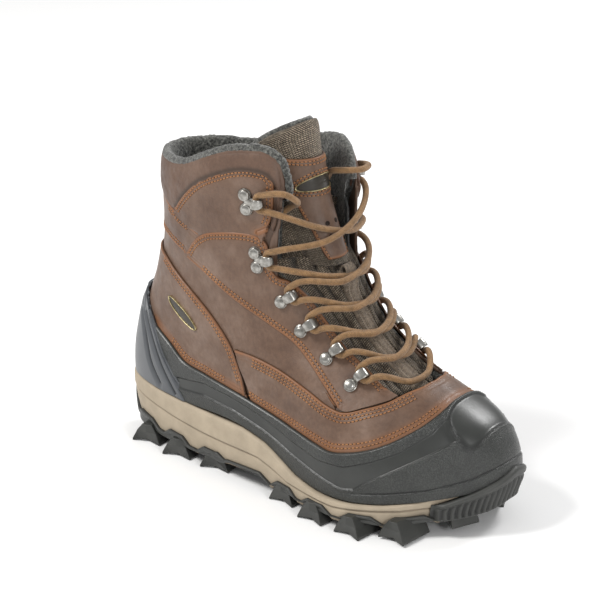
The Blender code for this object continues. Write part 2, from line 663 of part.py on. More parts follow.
def outline_curve(name, outlines, thickness):
    """A flat outline in x, y, given a thickness along z, as a mesh."""
    curve = bpy.data.curves.new(name, "CURVE")
    curve.dimensions = "2D"
    curve.fill_mode = "BOTH"
    curve.extrude = thickness / 2
    for outline in outlines:
        line = curve.splines.new("POLY")
        line.points.add(len(outline) - 1)
        for point, (x, y) in zip(line.points, outline):
            point.co = (x, y, 0, 1)
        line.use_cyclic_u = True
    holder = bpy.data.objects.new(name, curve)
    bpy.data.collections["cutters"].objects.link(holder)
    bpy.context.view_layer.update()
    mesh = bpy.data.meshes.new_from_object(holder.evaluated_get(bpy.context.evaluated_depsgraph_get()))
    bpy.data.objects.remove(holder)
    work = bmesh.new()
    work.from_mesh(mesh)
    bmesh.ops.remove_doubles(work, verts=work.verts, dist=0.0001)
    bmesh.ops.recalc_face_normals(work, faces=work.faces)
    work.to_mesh(mesh)
    work.free()
    return mesh


def side_profile(closed):
    """Outline of a fitting seen along the facing: plate, neck, head and, on a loop, a rear wall."""
    rear = RIVET_PLACE - 3.6
    low, top = PLATE
    if closed:
        outer = ((rear, low), (NECK[1], low), (NECK[1], HEAD[1] - 1), (NECK[1] - 1, HEAD[1]), (0.4, HEAD[1]),
                 (-0.5, HEAD[1] - 1), (-0.5, top), (rear, top))
        hole = ((0.6, top), (0.6, HEAD[0]), (NECK[0], HEAD[0]), (NECK[0], top))
        return outer, hole
    return (((rear, low), (NECK[1], low), (NECK[1], HEAD[1] - 1), (NECK[1] - 1, HEAD[1]), (0.6, HEAD[1]),
             (0.6, HEAD[0]), (NECK[0], HEAD[0]), (NECK[0], top), (rear, top)),)


def fitting_mesh(closed):
    """The metal of one fitting about its own origin: x towards the tongue, z away from the leather."""
    mesh = outline_curve("fitting", side_profile(closed), FITTING_WIDTH)
    mesh.transform(Matrix.Rotation(math.pi / 2, 4, "X"))
    if closed:
        return mesh
    wide = RIVET_SPREAD + 3.6
    rear, front = RIVET_PLACE - 3.9, RIVET_PLACE + 3.6
    outline = ((rear, -wide + 2), (rear + 2, -wide), (front - 2, -wide), (front, -wide + 2), (front, wide - 2),
               (front - 2, wide), (rear + 2, wide), (rear, wide - 2))
    plate = outline_curve("plate", (outline,), PLATE[1] - PLATE[0])
    plate.transform(Matrix.Translation((0, 0, sum(PLATE) / 2)))
    body = bpy.data.objects.new("hook_body", mesh)
    wing = bpy.data.objects.new("hook_wing", plate)
    for piece in (body, wing):
        bpy.data.collections["cutters"].objects.link(piece)
        piece.hide_render = True
    join(body, wing)
    bpy.context.view_layer.update()
    joined = bpy.data.meshes.new_from_object(body.evaluated_get(bpy.context.evaluated_depsgraph_get()))
    bpy.data.objects.remove(body)
    bpy.data.objects.remove(wing)
    return joined


def rivet_mesh():
    mesh = bmesh.new()
    bmesh.ops.create_cone(mesh, cap_ends=True, segments=10, radius1=3.5, radius2=2.3, depth=1.5)
    data = bpy.data.meshes.new("rivet")
    mesh.to_mesh(data)
    mesh.free()
    return data


def place_mesh(name, shape, frame, offset, finish="nickel"):
    """A copy of the mesh, set in a fitting's frame."""
    _, forward, up, away = frame
    origin = in_frame(frame, *offset)
    if np.cross(forward, up).dot(away) < 0:
        up = -up
    piece = add_mesh(name, shape.copy(), finish, origin)
    turn = Matrix((forward, up, away)).transposed()
    piece.rotation_euler = turn.to_euler()
    return piece


def add_fittings():
    hook, loop, rivet = fitting_mesh(False), fitting_mesh(True), rivet_mesh()
    for side, word in ((1, "lateral"), (-1, "medial")):
        for row in range(len(FITTING_ROWS)):
            frame = fitting_frame(row, side)
            is_hook = row < HOOK_ROWS
            kind = "hook" if is_hook else "loop"
            name = f"{word}_{kind}_{row + 1}"
            place_mesh(name, hook if is_hook else loop, frame, (0, 0, 0))
            spread = (-RIVET_SPREAD, RIVET_SPREAD) if is_hook else (0,)
            for number, v in enumerate(spread):
                rivet_name = f"{word}_rivet_{row + 1}" + ("ab"[number] if is_hook else "")
                place_mesh(rivet_name, rivet, frame, (RIVET_PLACE, v, PLATE[1] + 0.3 + 0.75))


def over_tongue(row, height):
    """The point above the middle of the tongue where the strands below a row cross."""
    if row == 0:
        up = UPPER_CROSSING
        return tongue_skin(up, 0.0) + tongue_outward(np.float64(up), np.float64(0)) * (height + 1.7)
    s = CROSSINGS[row - 1]
    return skin(s, 1.0) + outward(np.float64(s), np.float64(1.0)) * (height + OVERLAY[1])


def bend(row, side, upwards):
    """The lace's turn behind the neck of a fitting."""
    frame = fitting_frame(row, side)
    turn = ((10.0, -5.6, 4.5), (4.5, -4.5, 4.2), (4.5, 4.5, 4.2), (10.0, 5.6, 4.5))
    points = [in_frame(frame, *place) for place in turn]
    return points if upwards else points[::-1]


def strand(start, end, middle):
    """Two points of the run from one fitting to the next, by way of the middle."""
    return [
        start * (1 - t) * (1 - 2 * t) + middle * 4 * t * (1 - t) + end * t * (2 * t - 1)
        for t in (0.34, 0.66)
    ]


def lace_points():
    """The lace from one tucked end to the other, row by row."""
    points = [np.array(place, float) for place in TUCKED_OUTER[::-1]]
    last = len(FITTING_ROWS) - 1
    side = 1
    turns = [(row, False) for row in range(last + 1)] + [(row, True) for row in range(last, -1, -1)]
    for number, (row, upwards) in enumerate(turns):
        turn = bend(row, side, upwards)
        if number == last + 1:
            points += strand(points[-1], turn[0], over_tongue(last + 1, THROAT_HEIGHT))
        elif number:
            gap = row if upwards else row - 1
            on_top = (gap % 2 == 0) == upwards
            points += strand(points[-1], turn[0], over_tongue(gap, OVER if on_top else UNDER))
        points += turn
        side = -side
    return np.array(points + [np.array(place, float) for place in TUCKED_INNER])


def add_lace():
    path = lace_points()
    curve = bpy.data.curves.new("lace", "CURVE")
    curve.dimensions = "3D"
    curve.bevel_depth = LACE_DIAMETER / 2 * MM
    curve.bevel_resolution = 2
    curve.use_fill_caps = True
    line = curve.splines.new("POLY")
    line.points.add(len(path) - 1)
    origin = path.mean(axis=0)
    for point, (x, y, z) in zip(line.points, (path - origin) * MM):
        point.co = (x, y, z, 1)
    curve.materials.append(material("lace_cord"))
    piece = bpy.data.objects.new("lace", curve)
    piece.location = ((origin[0] + CENTRE[0]) * MM, (origin[1] + CENTRE[1]) * MM, origin[2] * MM)
    bpy.data.collections["hunting_boot"].objects.link(piece)
    for number, (tip, inner) in enumerate(((path[0], path[1]), (path[-1], path[-2]))):
        add_aglet("aglet_" + ("lateral", "medial")[number], tip, (tip - inner) / np.linalg.norm(tip - inner))


def add_aglet(name, tip, direction):
    mesh = bmesh.new()
    bmesh.ops.create_cone(mesh, cap_ends=True, segments=10, radius1=1.7, radius2=1.4, depth=AGLET_LENGTH)
    data = bpy.data.meshes.new(name)
    mesh.to_mesh(data)
    mesh.free()
    piece = add_mesh(name, data, "steel", tip + direction * (AGLET_LENGTH / 2 + 0.4))
    piece.rotation_euler = Vector(direction).to_track_quat("Z", "Y").to_euler()


def main():
    for piece in list(bpy.data.objects):
        bpy.data.objects.remove(piece)
    for name in ("hunting_boot", "cutters"):
        bpy.context.scene.collection.children.link(bpy.data.collections.new(name))
    add_sole()
    add_lower_shell()
    add_upper()
    add_inner()
    add_tongue()
    add_fittings()
    add_lace()


main()
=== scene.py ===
import json
import math

import bpy
import numpy as np
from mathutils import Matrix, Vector
from mathutils.bvhtree import BVHTree

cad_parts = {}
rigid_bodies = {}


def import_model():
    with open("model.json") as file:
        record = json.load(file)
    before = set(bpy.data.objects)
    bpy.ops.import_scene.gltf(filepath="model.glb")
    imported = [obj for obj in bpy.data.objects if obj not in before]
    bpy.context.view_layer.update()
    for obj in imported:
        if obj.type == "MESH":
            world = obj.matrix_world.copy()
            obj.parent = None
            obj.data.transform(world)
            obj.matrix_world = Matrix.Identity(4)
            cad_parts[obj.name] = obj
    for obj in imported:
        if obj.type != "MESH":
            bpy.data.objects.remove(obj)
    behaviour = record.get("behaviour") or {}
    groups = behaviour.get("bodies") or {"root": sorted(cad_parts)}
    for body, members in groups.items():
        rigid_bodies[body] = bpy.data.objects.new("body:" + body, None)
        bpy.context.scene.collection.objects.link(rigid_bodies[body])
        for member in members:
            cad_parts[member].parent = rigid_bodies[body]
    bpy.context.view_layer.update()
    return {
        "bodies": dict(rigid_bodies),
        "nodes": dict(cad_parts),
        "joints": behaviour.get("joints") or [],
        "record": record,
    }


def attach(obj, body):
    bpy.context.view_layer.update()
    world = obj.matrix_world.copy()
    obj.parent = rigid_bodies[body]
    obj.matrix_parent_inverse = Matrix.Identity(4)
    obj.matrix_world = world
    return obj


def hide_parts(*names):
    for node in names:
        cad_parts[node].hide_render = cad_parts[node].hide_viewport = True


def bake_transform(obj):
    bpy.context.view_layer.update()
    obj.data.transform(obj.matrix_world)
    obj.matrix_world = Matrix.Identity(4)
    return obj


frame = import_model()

# Every length below is in millimetres, in the boot's own frame: toe towards +X, outer
# side towards -Y. SHIFT moves it into the CAD model's frame and MM turns it into metres.
MM = 0.001
SHIFT = np.array([-2.6, 9.35, 0.0])
LACE_DIAMETER = 4.2

# ---- camera, floor and light ---------------------------------------------------------
CAMERA_BACK = Vector((0.5568, -0.7552, 0.3460))
CAMERA_PLACE = Vector((0.7592, -1.0404, 0.6007))
LENS = 126.4


def add_camera():
    data = bpy.data.cameras.new("camera")
    data.lens = LENS
    data.sensor_width = 36.0
    camera = bpy.data.objects.new("camera", data)
    camera.location = CAMERA_PLACE
    camera.rotation_euler = CAMERA_BACK.to_track_quat("Z", "Y").to_euler()
    bpy.context.scene.collection.objects.link(camera)
    bpy.context.scene.camera = camera


def add_area(name, place, size, power, colour=(1, 1, 1)):
    data = bpy.data.lights.new(name, "AREA")
    data.shape = "DISK"
    data.size = size
    data.energy = power
    data.color = colour
    lamp = bpy.data.objects.new(name, data)
    lamp.location = place
    aim = Vector((0, 0, 0.1)) - Vector(place)
    lamp.rotation_euler = aim.to_track_quat("-Z", "Y").to_euler()
    bpy.context.scene.collection.objects.link(lamp)


def add_studio():
    world = bpy.data.worlds.new("studio")
    world.use_nodes = True
    background = world.node_tree.nodes["Background"]
    background.inputs["Color"].default_value = (1, 1, 1, 1)
    background.inputs["Strength"].default_value = WORLD_STRENGTH
    bpy.context.scene.world = world
    bpy.context.scene.view_settings.view_transform = "Standard"
    for lamp in LAMPS:
        add_area(*lamp)
    bpy.ops.mesh.primitive_plane_add(size=30, location=(0, 0, -0.0002))
    floor = bpy.context.object
    floor.name = "floor"
    paint, shader = new_material("floor_paper", (0.95, 0.95, 0.95), 0.9)
    tree = paint.node_tree
    grain = add_node(tree, "ShaderNodeTexNoise", {"Scale": 300.0})
    link(tree, grain, "Fac", add_bump(tree, shader, 0.02, 0.0002), "Height")
    floor.data.materials.append(paint)


WORLD_STRENGTH = 0.5
LAMPS = (
    ("key", (-1.0, -1.3, 2.0), 0.7, 48, (1, 0.99, 0.97)),
    ("fill", (2.0, -1.0, 1.0), 0.6, 16),
    ("back", (0.6, 1.6, 1.6), 0.7, 26),
)


# ---- materials -----------------------------------------------------------------------
def new_material(name, colour, roughness, **sockets):
    made = bpy.data.materials.new(name)
    made.use_nodes = True
    shader = made.node_tree.nodes["Principled BSDF"]
    shader.inputs["Base Color"].default_value = (*colour, 1)
    shader.inputs["Roughness"].default_value = roughness
    for socket, value in sockets.items():
        shader.inputs[socket.replace("_", " ")].default_value = value
    return made, shader


def add_node(tree, kind, inputs=None, **settings):
    made = tree.nodes.new(kind)
    for key, value in settings.items():
        setattr(made, key, value)
    for key, value in (inputs or {}).items():
        made.inputs[key].default_value = value
    return made


def link(tree, source, output, target, socket):
    tree.links.new(source.outputs[output], target.inputs[socket])


def add_bump(tree, shader, strength, distance, below=None):
    bump = add_node(tree, "ShaderNodeBump", {"Strength": strength, "Distance": distance})
    if below:
        link(tree, bump, "Normal", below, "Normal")
    else:
        link(tree, bump, "Normal", shader, "Normal")
    return bump


def ramp(tree, stops):
    made = add_node(tree, "ShaderNodeValToRGB")
    band = made.color_ramp
    while len(band.elements) < len(stops):
        band.elements.new(0.5)
    for element, (place, value) in zip(band.elements, stops):
        element.position = place
        element.color = (*value, 1) if isinstance(value, tuple) else (value, value, value, 1)
    return made


def mixed(tree, kind="MIX", factor=None):
    made = add_node(tree, "ShaderNodeMix", data_type="RGBA", blend_type=kind)
    if factor is not None:
        made.inputs[0].default_value = factor
    return made


def noise_colours(tree, coords, scale, detail, stops):
    """Noise over the object's own place, as colours."""
    noise = add_node(tree, "ShaderNodeTexNoise", {"Scale": scale, "Detail": detail, "Roughness": 0.6})
    link(tree, coords, "Object", noise, "Vector")
    colours = ramp(tree, stops)
    link(tree, noise, "Fac", colours, "Fac")
    return noise, colours


def leather_material(name, tone, edge_tone, grain=1.0, roughness=(0.42, 0.62)):
    """Oiled leather: mottled and finely grained, burnished by edge, and darkened by painted shade where a
    panel sets it: along its edges, in gaps and under the cuff's edge.
    """
    made, shader = new_material(name, tone[1], 0.5, Specular_IOR_Level=0.42)
    tree = made.node_tree
    coords = add_node(tree, "ShaderNodeTexCoord")
    _, broad = noise_colours(tree, coords, 26.0, 5.0, ((0.3, tone[0]), (0.52, tone[1]), (0.72, tone[2])))
    _, fine = noise_colours(tree, coords, 420.0, 4.0, ((0.25, 0.72), (0.75, 1.12)))
    speckled = mixed(tree, "MULTIPLY", 0.75)
    link(tree, broad, "Color", speckled, 6)
    link(tree, fine, "Color", speckled, 7)
    edge = add_node(tree, "ShaderNodeAttribute", attribute_name="edge")
    patchy = add_node(tree, "ShaderNodeMath", operation="MULTIPLY_ADD")
    patches = add_node(tree, "ShaderNodeTexNoise", {"Scale": 130.0, "Detail": 3.0})
    link(tree, coords, "Object", patches, "Vector")
    link(tree, edge, "Fac", patchy, 0)
    link(tree, patches, "Fac", patchy, 1)
    half = add_node(tree, "ShaderNodeMath", {1: 0.45}, operation="MULTIPLY")
    link(tree, edge, "Fac", half, 0)
    link(tree, half, "Value", patchy, 2)
    burnished = mixed(tree)
    link(tree, patchy, "Value", burnished, 0)
    link(tree, speckled, 2, burnished, 6)
    burnished.inputs[7].default_value = (*edge_tone, 1)
    # painted shade: the attribute darkens the leather towards near black where a panel lies in shade
    painted_shade = add_node(tree, "ShaderNodeAttribute", attribute_name="painted_shade")
    shade_mix = mixed(tree)
    link(tree, painted_shade, "Fac", shade_mix, 0)
    link(tree, burnished, 2, shade_mix, 6)
    shade_mix.inputs[7].default_value = (0.035, 0.02, 0.012, 1)
    link(tree, shade_mix, 2, shader, "Base Color")
    sheen = ramp(tree, ((0.3, roughness[0]), (0.7, roughness[1])))
    link(tree, patches, "Fac", sheen, "Fac")
    link(tree, sheen, "Color", shader, "Roughness")
    pores = add_node(tree, "ShaderNodeTexVoronoi", {"Scale": 1100.0 / grain, "Randomness": 1.0})
    link(tree, coords, "Object", pores, "Vector")
    creases = add_node(tree, "ShaderNodeTexNoise", {"Scale": 230.0, "Detail": 5.0})
    link(tree, coords, "Object", creases, "Vector")
    soft = add_bump(tree, shader, 0.25, 0.0006)
    link(tree, creases, "Fac", soft, "Height")
    hard = add_bump(tree, shader, 0.28 * grain, 0.0003, below=soft)
    link(tree, pores, "Distance", hard, "Height")
    return made


def rubber_material(name, tone, roughness, stipple=1.0):
    """Moulded rubber, stippled by the attribute stipple and smooth elsewhere. The stipple's tips are painted
    lighter as highlight and its pits darker as shade, and painted shade darkens grooves and recesses.
    """
    made, shader = new_material(name, tone[0], roughness, Specular_IOR_Level=0.5)
    tree = made.node_tree
    coords = add_node(tree, "ShaderNodeTexCoord")
    _, cloudy = noise_colours(tree, coords, 40.0, 5.0, ((0.3, tone[0]), (0.7, tone[1])))
    mask = add_node(tree, "ShaderNodeAttribute", attribute_name="stipple")
    pits = add_node(tree, "ShaderNodeTexNoise", {"Scale": 1150.0, "Detail": 2.0, "Roughness": 0.5})
    link(tree, coords, "Object", pits, "Vector")
    # painted highlight and shade: where stippled, the colour is painted 0.75 times as dark in the pits and up
    # to 1.55 times as light on the tips
    stipple_light_and_shade = ramp(tree, ((0.42, 0.75), (0.68, 1.55)))
    link(tree, pits, "Fac", stipple_light_and_shade, "Fac")
    speckled = mixed(tree, "MULTIPLY")
    link(tree, mask, "Fac", speckled, 0)
    link(tree, cloudy, "Color", speckled, 6)
    link(tree, stipple_light_and_shade, "Color", speckled, 7)
    # painted shade: near black in the shell's groove and recess walls, the heel support's slots, between the
    # toe ribs and where the outsole's edge tucks in
    painted_shade = add_node(tree, "ShaderNodeAttribute", attribute_name="painted_shade")
    shade_mix = mixed(tree)
    link(tree, painted_shade, "Fac", shade_mix, 0)
    link(tree, speckled, 2, shade_mix, 6)
    shade_mix.inputs[7].default_value = (0.008, 0.008, 0.008, 1)
    link(tree, shade_mix, 2, shader, "Base Color")
    height = add_node(tree, "ShaderNodeMath", operation="MULTIPLY")
    link(tree, pits, "Fac", height, 0)
    link(tree, mask, "Fac", height, 1)
    fine = add_node(tree, "ShaderNodeTexNoise", {"Scale": 2600.0, "Detail": 2.0})
    link(tree, coords, "Object", fine, "Vector")
    smooth = add_bump(tree, shader, 0.06, 0.0002)
    link(tree, fine, "Fac", smooth, "Height")
    rough = add_bump(tree, shader, 0.75 * stipple, 0.0007, below=smooth)
    link(tree, height, "Value", rough, "Height")
    return made


def woven_material(name, width, height, light, mid, dark, offset=0.5, strength=0.9, mortar=0.2, turn=0.0):
    """A woven textile over the UV map, whose unit is a millimetre: threads width by height."""
    made, shader = new_material(name, mid, 0.85, Specular_IOR_Level=0.25, Sheen_Weight=0.15)
    tree = made.node_tree
    coords = add_node(tree, "ShaderNodeTexCoord")
    weave = add_node(
        tree, "ShaderNodeTexBrick",
        {"Scale": 1.0, "Mortar Size": height * mortar, "Mortar Smooth": 0.7, "Brick Width": width,
         "Row Height": height,
         "Color1": (*light, 1), "Color2": (*mid, 1), "Mortar": (*dark, 1)},
        offset=offset)
    turned = add_node(tree, "ShaderNodeMapping", {"Rotation": (0, 0, turn)})
    link(tree, coords, "UV", turned, "Vector")
    link(tree, turned, "Vector", weave, "Vector")
    _, worn = noise_colours(tree, coords, 500.0, 3.0, ((0.3, 0.45), (0.62, 1.15)))
    toned = mixed(tree, "MULTIPLY", 0.85)
    link(tree, weave, "Color", toned, 6)
    link(tree, worn, "Color", toned, 7)
    # painted shade: darker in the creases and folds, along the webbing's sides and at the bottom of the
    # tongue mesh
    painted_shade = add_node(tree, "ShaderNodeAttribute", attribute_name="painted_shade")
    shade_mix = mixed(tree)
    link(tree, painted_shade, "Fac", shade_mix, 0)
    link(tree, toned, 2, shade_mix, 6)
    shade_mix.inputs[7].default_value = (0.012, 0.01, 0.008, 1)
    link(tree, shade_mix, 2, shader, "Base Color")
    bump = add_bump(tree, shader, strength, 0.0006)
    bump.invert = True
    link(tree, weave, "Fac", bump, "Height")
    return made


def felt_material(name, light, dark, scale=650.0):
    made, shader = new_material(name, dark, 0.98, Specular_IOR_Level=0.15, Sheen_Weight=0.35,
                                Sheen_Roughness=0.6)
    tree = made.node_tree
    coords = add_node(tree, "ShaderNodeTexCoord")
    middle = tuple((a + b) / 2.6 for a, b in zip(light, dark))
    curls, speckles = noise_colours(tree, coords, scale, 5.0, ((0.36, dark), (0.52, middle), (0.7, light)))
    _, broad = noise_colours(tree, coords, 90.0, 3.0, ((0.3, 0.7), (0.7, 1.15)))
    toned = mixed(tree, "MULTIPLY", 0.8)
    link(tree, speckles, "Color", toned, 6)
    link(tree, broad, "Color", toned, 7)
    link(tree, toned, 2, shader, "Base Color")
    link(tree, curls, "Fac", add_bump(tree, shader, 1.0, 0.0012), "Height")
    return made


def metal_material(name, light, dark, roughness):
    made, shader = new_material(name, light, roughness, Metallic=1.0)
    tree = made.node_tree
    coords = add_node(tree, "ShaderNodeTexCoord")
    stains, colours = noise_colours(tree, coords, 420.0, 4.0, ((0.34, dark), (0.62, light)))
    painted_shade = add_node(tree, "ShaderNodeAttribute", attribute_name="painted_shade")
    shade_mix = mixed(tree)
    link(tree, painted_shade, "Fac", shade_mix, 0)
    link(tree, colours, "Color", shade_mix, 6)
    shade_mix.inputs[7].default_value = (0.03, 0.028, 0.025, 1)
    link(tree, shade_mix, 2, shader, "Base Color")
    dull = ramp(tree, ((0.3, roughness * 1.7), (0.7, roughness)))
    link(tree, stains, "Fac", dull, "Fac")
    link(tree, dull, "Color", shader, "Roughness")
    link(tree, stains, "Fac", add_bump(tree, shader, 0.12, 0.0003), "Height")
    return made


def cord_material(name, light, dark):
    """Braid over the UV map: u along the cord in millimetres, v round it from 0 to 1."""
    made, shader = new_material(name, light, 0.75, Specular_IOR_Level=0.3, Sheen_Weight=0.2)
    tree = made.node_tree
    coords = add_node(tree, "ShaderNodeTexCoord")
    braid = add_node(
        tree, "ShaderNodeTexBrick",
        {"Scale": 1.0, "Mortar Size": 0.12, "Mortar Smooth": 0.8, "Brick Width": 1.7, "Row Height": 0.825,
         "Color1": (*light, 1), "Color2": tuple(c * 0.78 for c in light) + (1,), "Mortar": (*dark, 1)},
        offset=0.5)
    turned = add_node(tree, "ShaderNodeMapping", {"Rotation": (0, 0, 0.7)})
    link(tree, coords, "UV", turned, "Vector")
    link(tree, turned, "Vector", braid, "Vector")
    _, worn = noise_colours(tree, coords, 260.0, 4.0, ((0.28, 0.62), (0.7, 1.2)))
    toned = mixed(tree, "MULTIPLY", 0.8)
    link(tree, braid, "Color", toned, 6)
    link(tree, worn, "Color", toned, 7)
    link(tree, toned, 2, shader, "Base Color")
    bump = add_bump(tree, shader, 0.7, 0.0005)
    bump.invert = True
    link(tree, braid, "Fac", bump, "Height")
    return made


def foam_material(name, tone):
    made, shader = new_material(name, tone, 0.72, Specular_IOR_Level=0.3)
    tree = made.node_tree
    coords = add_node(tree, "ShaderNodeTexCoord")
    dull = tuple(c * 0.8 for c in tone)
    _, colours = noise_colours(tree, coords, 70.0, 6.0, ((0.3, dull), (0.66, tone)))
    # painted shade: darker in the midsole's groove and towards its bottom, under the outsole's edge
    painted_shade = add_node(tree, "ShaderNodeAttribute", attribute_name="painted_shade")
    shade_mix = mixed(tree)
    link(tree, painted_shade, "Fac", shade_mix, 0)
    link(tree, colours, "Color", shade_mix, 6)
    shade_mix.inputs[7].default_value = (0.13, 0.1, 0.07, 1)
    link(tree, shade_mix, 2, shader, "Base Color")
    pits = add_node(tree, "ShaderNodeTexNoise", {"Scale": 1500.0, "Detail": 3.0})
    link(tree, coords, "Object", pits, "Vector")
    link(tree, pits, "Fac", add_bump(tree, shader, 0.22, 0.0003), "Height")
    return made


def add_materials():
    burnish = (0.23, 0.095, 0.037)
    return {
        "leather": leather_material(
            "oiled_leather", ((0.085, 0.045, 0.028), (0.135, 0.08, 0.053), (0.2, 0.134, 0.1)), burnish,
            roughness=(0.36, 0.56)),
        "collar_leather": leather_material(
            "soft_leather", ((0.085, 0.046, 0.03), (0.115, 0.066, 0.044), (0.15, 0.093, 0.066)), burnish,
            1.5, (0.46, 0.62)),
        "thread": leather_material("thread", ((0.24, 0.1, 0.035), (0.32, 0.14, 0.05), (0.4, 0.19, 0.075)),
                                   burnish, 0.6),
        # painted shade: near-black discs and cups that stand for stitch holes and the tongue's vents
        "hole_shade": new_material("painted_hole_shade", (0.018, 0.009, 0.006), 0.9)[0],
        "shell_rubber": rubber_material("shell_rubber", ((0.02, 0.0215, 0.02), (0.033, 0.035, 0.032)), 0.35),
        "heel_rubber": rubber_material("heel_rubber", ((0.06, 0.065, 0.072), (0.085, 0.09, 0.098)), 0.38,
                                       0.2),
        "sole_rubber": rubber_material("sole_rubber", ((0.03, 0.031, 0.028), (0.045, 0.046, 0.042)), 0.5,
                                       0.5),
        "midsole_foam": foam_material("midsole_foam", (0.42, 0.35, 0.26)),
        "felt": felt_material("felt", (0.2, 0.2, 0.18), (0.012, 0.012, 0.011)),
        "footbed": felt_material("footbed_felt", (0.6, 0.57, 0.5), (0.25, 0.24, 0.21), 300.0),
        "insulation": felt_material("fibre_fill", (0.12, 0.12, 0.12), (0.05, 0.05, 0.05), 300.0),
        "textile": woven_material("coarse_weave", 1.7, 1.0, (0.34, 0.27, 0.195), (0.17, 0.132, 0.092),
                                  (0.01, 0.008, 0.006),
                                  mortar=0.28, turn=0.7),
        "mesh": woven_material("fine_mesh", 1.9, 1.05, (0.42, 0.34, 0.25), (0.26, 0.205, 0.145),
                               (0.012, 0.01, 0.008), mortar=0.27,
                               turn=0.7),
        "webbing": woven_material("ribbed_webbing", 3.4, 0.7, (0.34, 0.27, 0.2), (0.26, 0.2, 0.145),
                                  (0.05, 0.036, 0.025), 0.25),
        "lace_cord": cord_material("braided_lace", (0.34, 0.195, 0.085), (0.13, 0.065, 0.026)),
        "nickel": metal_material("antique_nickel", (0.4, 0.39, 0.365), (0.24, 0.23, 0.21), 0.24),
        "brass": metal_material("dull_brass", (0.55, 0.47, 0.27), (0.25, 0.2, 0.1), 0.35),
        "badge": leather_material("badge_enamel",
                                  ((0.02, 0.017, 0.013), (0.03, 0.025, 0.018), (0.045, 0.035, 0.025)),
                                  burnish, 0.5, (0.25, 0.4)),
        "board": foam_material("fibre_board", (0.35, 0.28, 0.2)),
    }


# ---- the boot's form, as in the CAD source: a place on it is (s, p) --------------------
LEVELS = (
    (-138, 14, 142, 18, 2.5, (34, 38, 42, 58, 48), (34, 36, 36, 46, 46)),
    (-142, 38, 147, 42, 2.5, (36, 39, 43, 58, 48), (36, 37, 38, 47, 47)),
    (-142, 62, 134, 66, 2.5, (36, 39, 43, 52, 44), (36, 37, 39, 46, 44)),
    (-138, 84, 94, 88, 2.4, (35, 38, 42, 45, 38), (35, 38, 41, 44, 41)),
    (-131, 105, 66, 107, 2.5, (35, 38, 41, 38, 33), (35, 39, 42, 42, 37)),
    (-123, 128, 47, 128, 2.5, (35, 39, 41, 36, 32), (35, 41, 43, 43, 38)),
    (-118, 150, 34, 152, 2.5, (36, 40, 42, 37, 32), (36, 42, 44, 45, 40)),
    (-117, 175, 27, 180, 2.4, (37, 42, 43, 38, 32), (37, 43, 46, 49, 45)),
    (-119, 199, 25, 208, 2.3, (38, 43, 44, 40, 34), (38, 44, 48, 52, 50)),
    (-122, 224, 22, 254, 2.3, (38, 43, 45, 41, 35), (38, 44, 49, 53, 52)),
)
CENTRE_LINE = ((-150, 0), (-60, 0), (20, -3), (60, -3), (90, -1), (160, 7))  # x, y in plan

GROUND_LIFT = 12.0  # toe spring at the tip
SPRING_START, SPRING_END = 85.0, 150.0
TONGUE_FRONT = ((23, 153), (16, 171), (7, 199), (2, 224), (-1, 245))  # x, z up the middle
TONGUE_OUTER, TONGUE_INNER = (14, 28), (20, 30)  # width from its middle to each edge, bottom and top
TONGUE_DROP = (20, 38)  # how far its edges sweep back, bottom and top
TONGUE_ARC = math.radians(80)
TONGUE_MIDDLE = -2.5  # y of the tongue's middle
TONGUE_CORNER_FALL = 20.0
THROAT_HEIGHT = 4.5  # of the lowest run of the lace above the tongue
UPPER_CROSSING = 0.27  # how far up the upper tongue the first strands cross
CROSSINGS = (0.652, 0.575, 0.495, 0.42, 0.355, 0.355)  # level of each lower crossing and of the lowest run
OVER, UNDER = 9.8, 5.2  # height of the two strands above the tongue at a crossing
# the lace's two ends dip between the collar and the tongue, x, y, z from the upper hook inwards
TUCKED_OUTER = ((4, -38, 205), (6.5, -30.5, 200), (3.5, -24, 195.5), (-3.5, -21.8, 191.5),
                (-10.8, -23.4, 185.5))
TUCKED_INNER = ((18, 34, 209.5), (20.5, 22, 210), (12.5, 14, 210), (3, 14.3, 208), (-4, 20, 202),
                (-11, 23.7, 193))
OVERLAY_TOP = -9.0

# side-view curves, from back to front, (x, z)
RUBBER_EDGE = ((-113, 89), (-96, 81), (-81, 72), (-63, 69), (-43, 66), (-24, 63), (-9, 60), (18, 55),
               (42, 50.5), (53, 49), (66, 51), (85, 57), (99, 65), (107, 71), (111, 76), (112, 79))
MIDSOLE_EDGE = ((-150, 46), (-110, 45), (-80, 43), (-50, 42), (-25, 41), (-5, 36), (10, 29),
                (25, 23), (45, 19.5), (65, 19), (90, 21), (110, 24.5), (130, 29), (155, 36))
HEEL_SEAM = ((-124, 146), (-102, 141), (-88, 134), (-66, 121), (-48, 107), (-37, 95))
VAMP_SEAM = ((-33, 93.5), (-17, 93), (7, 89), (29, 82), (48, 75), (56, 73.5), (70, 77), (81, 81), (89, 86))
ANKLE_SEAM = ((-75, 147), (-62, 142), (-43, 132), (-24, 123), (-6, 115), (13, 106), (24, 98), (39, 86),
              (52, 76))
ANKLE_ARC = ((-75, 152), (-70, 159), (-59, 168), (-43, 173), (-29, 175), (-17, 175), (-8, 172))
FACING_EDGE = ((-8, 152), (-3, 148), (4, 147), (15, 140), (26, 128), (48, 106), (59, 99), (75, 88), (84, 84))
CUFF_ARC = ((-86, 180), (-76, 191), (-61, 204), (-45, 212), (-31, 217), (-18, 218), (-10, 216),
            (-6, 211), (-6, 204), (-8, 186), (-10, 181), (-17, 176.5))
STRAP_TOP = ((-124, 191), (-96, 179.5), (-83, 174.5), (-73, 171.5), (-65, 168))
STRAP_BOTTOM = ((-124, 157), (-97, 154.5), (-80, 150))
COLLAR_TOP = ((-125, 206), (-76, 210), (-53, 220), (-37, 226), (-24, 228), (-13, 228), (-6, 224),
              (-2, 212), (-2, 203), (-5.3, 191), (-7, 185.5))
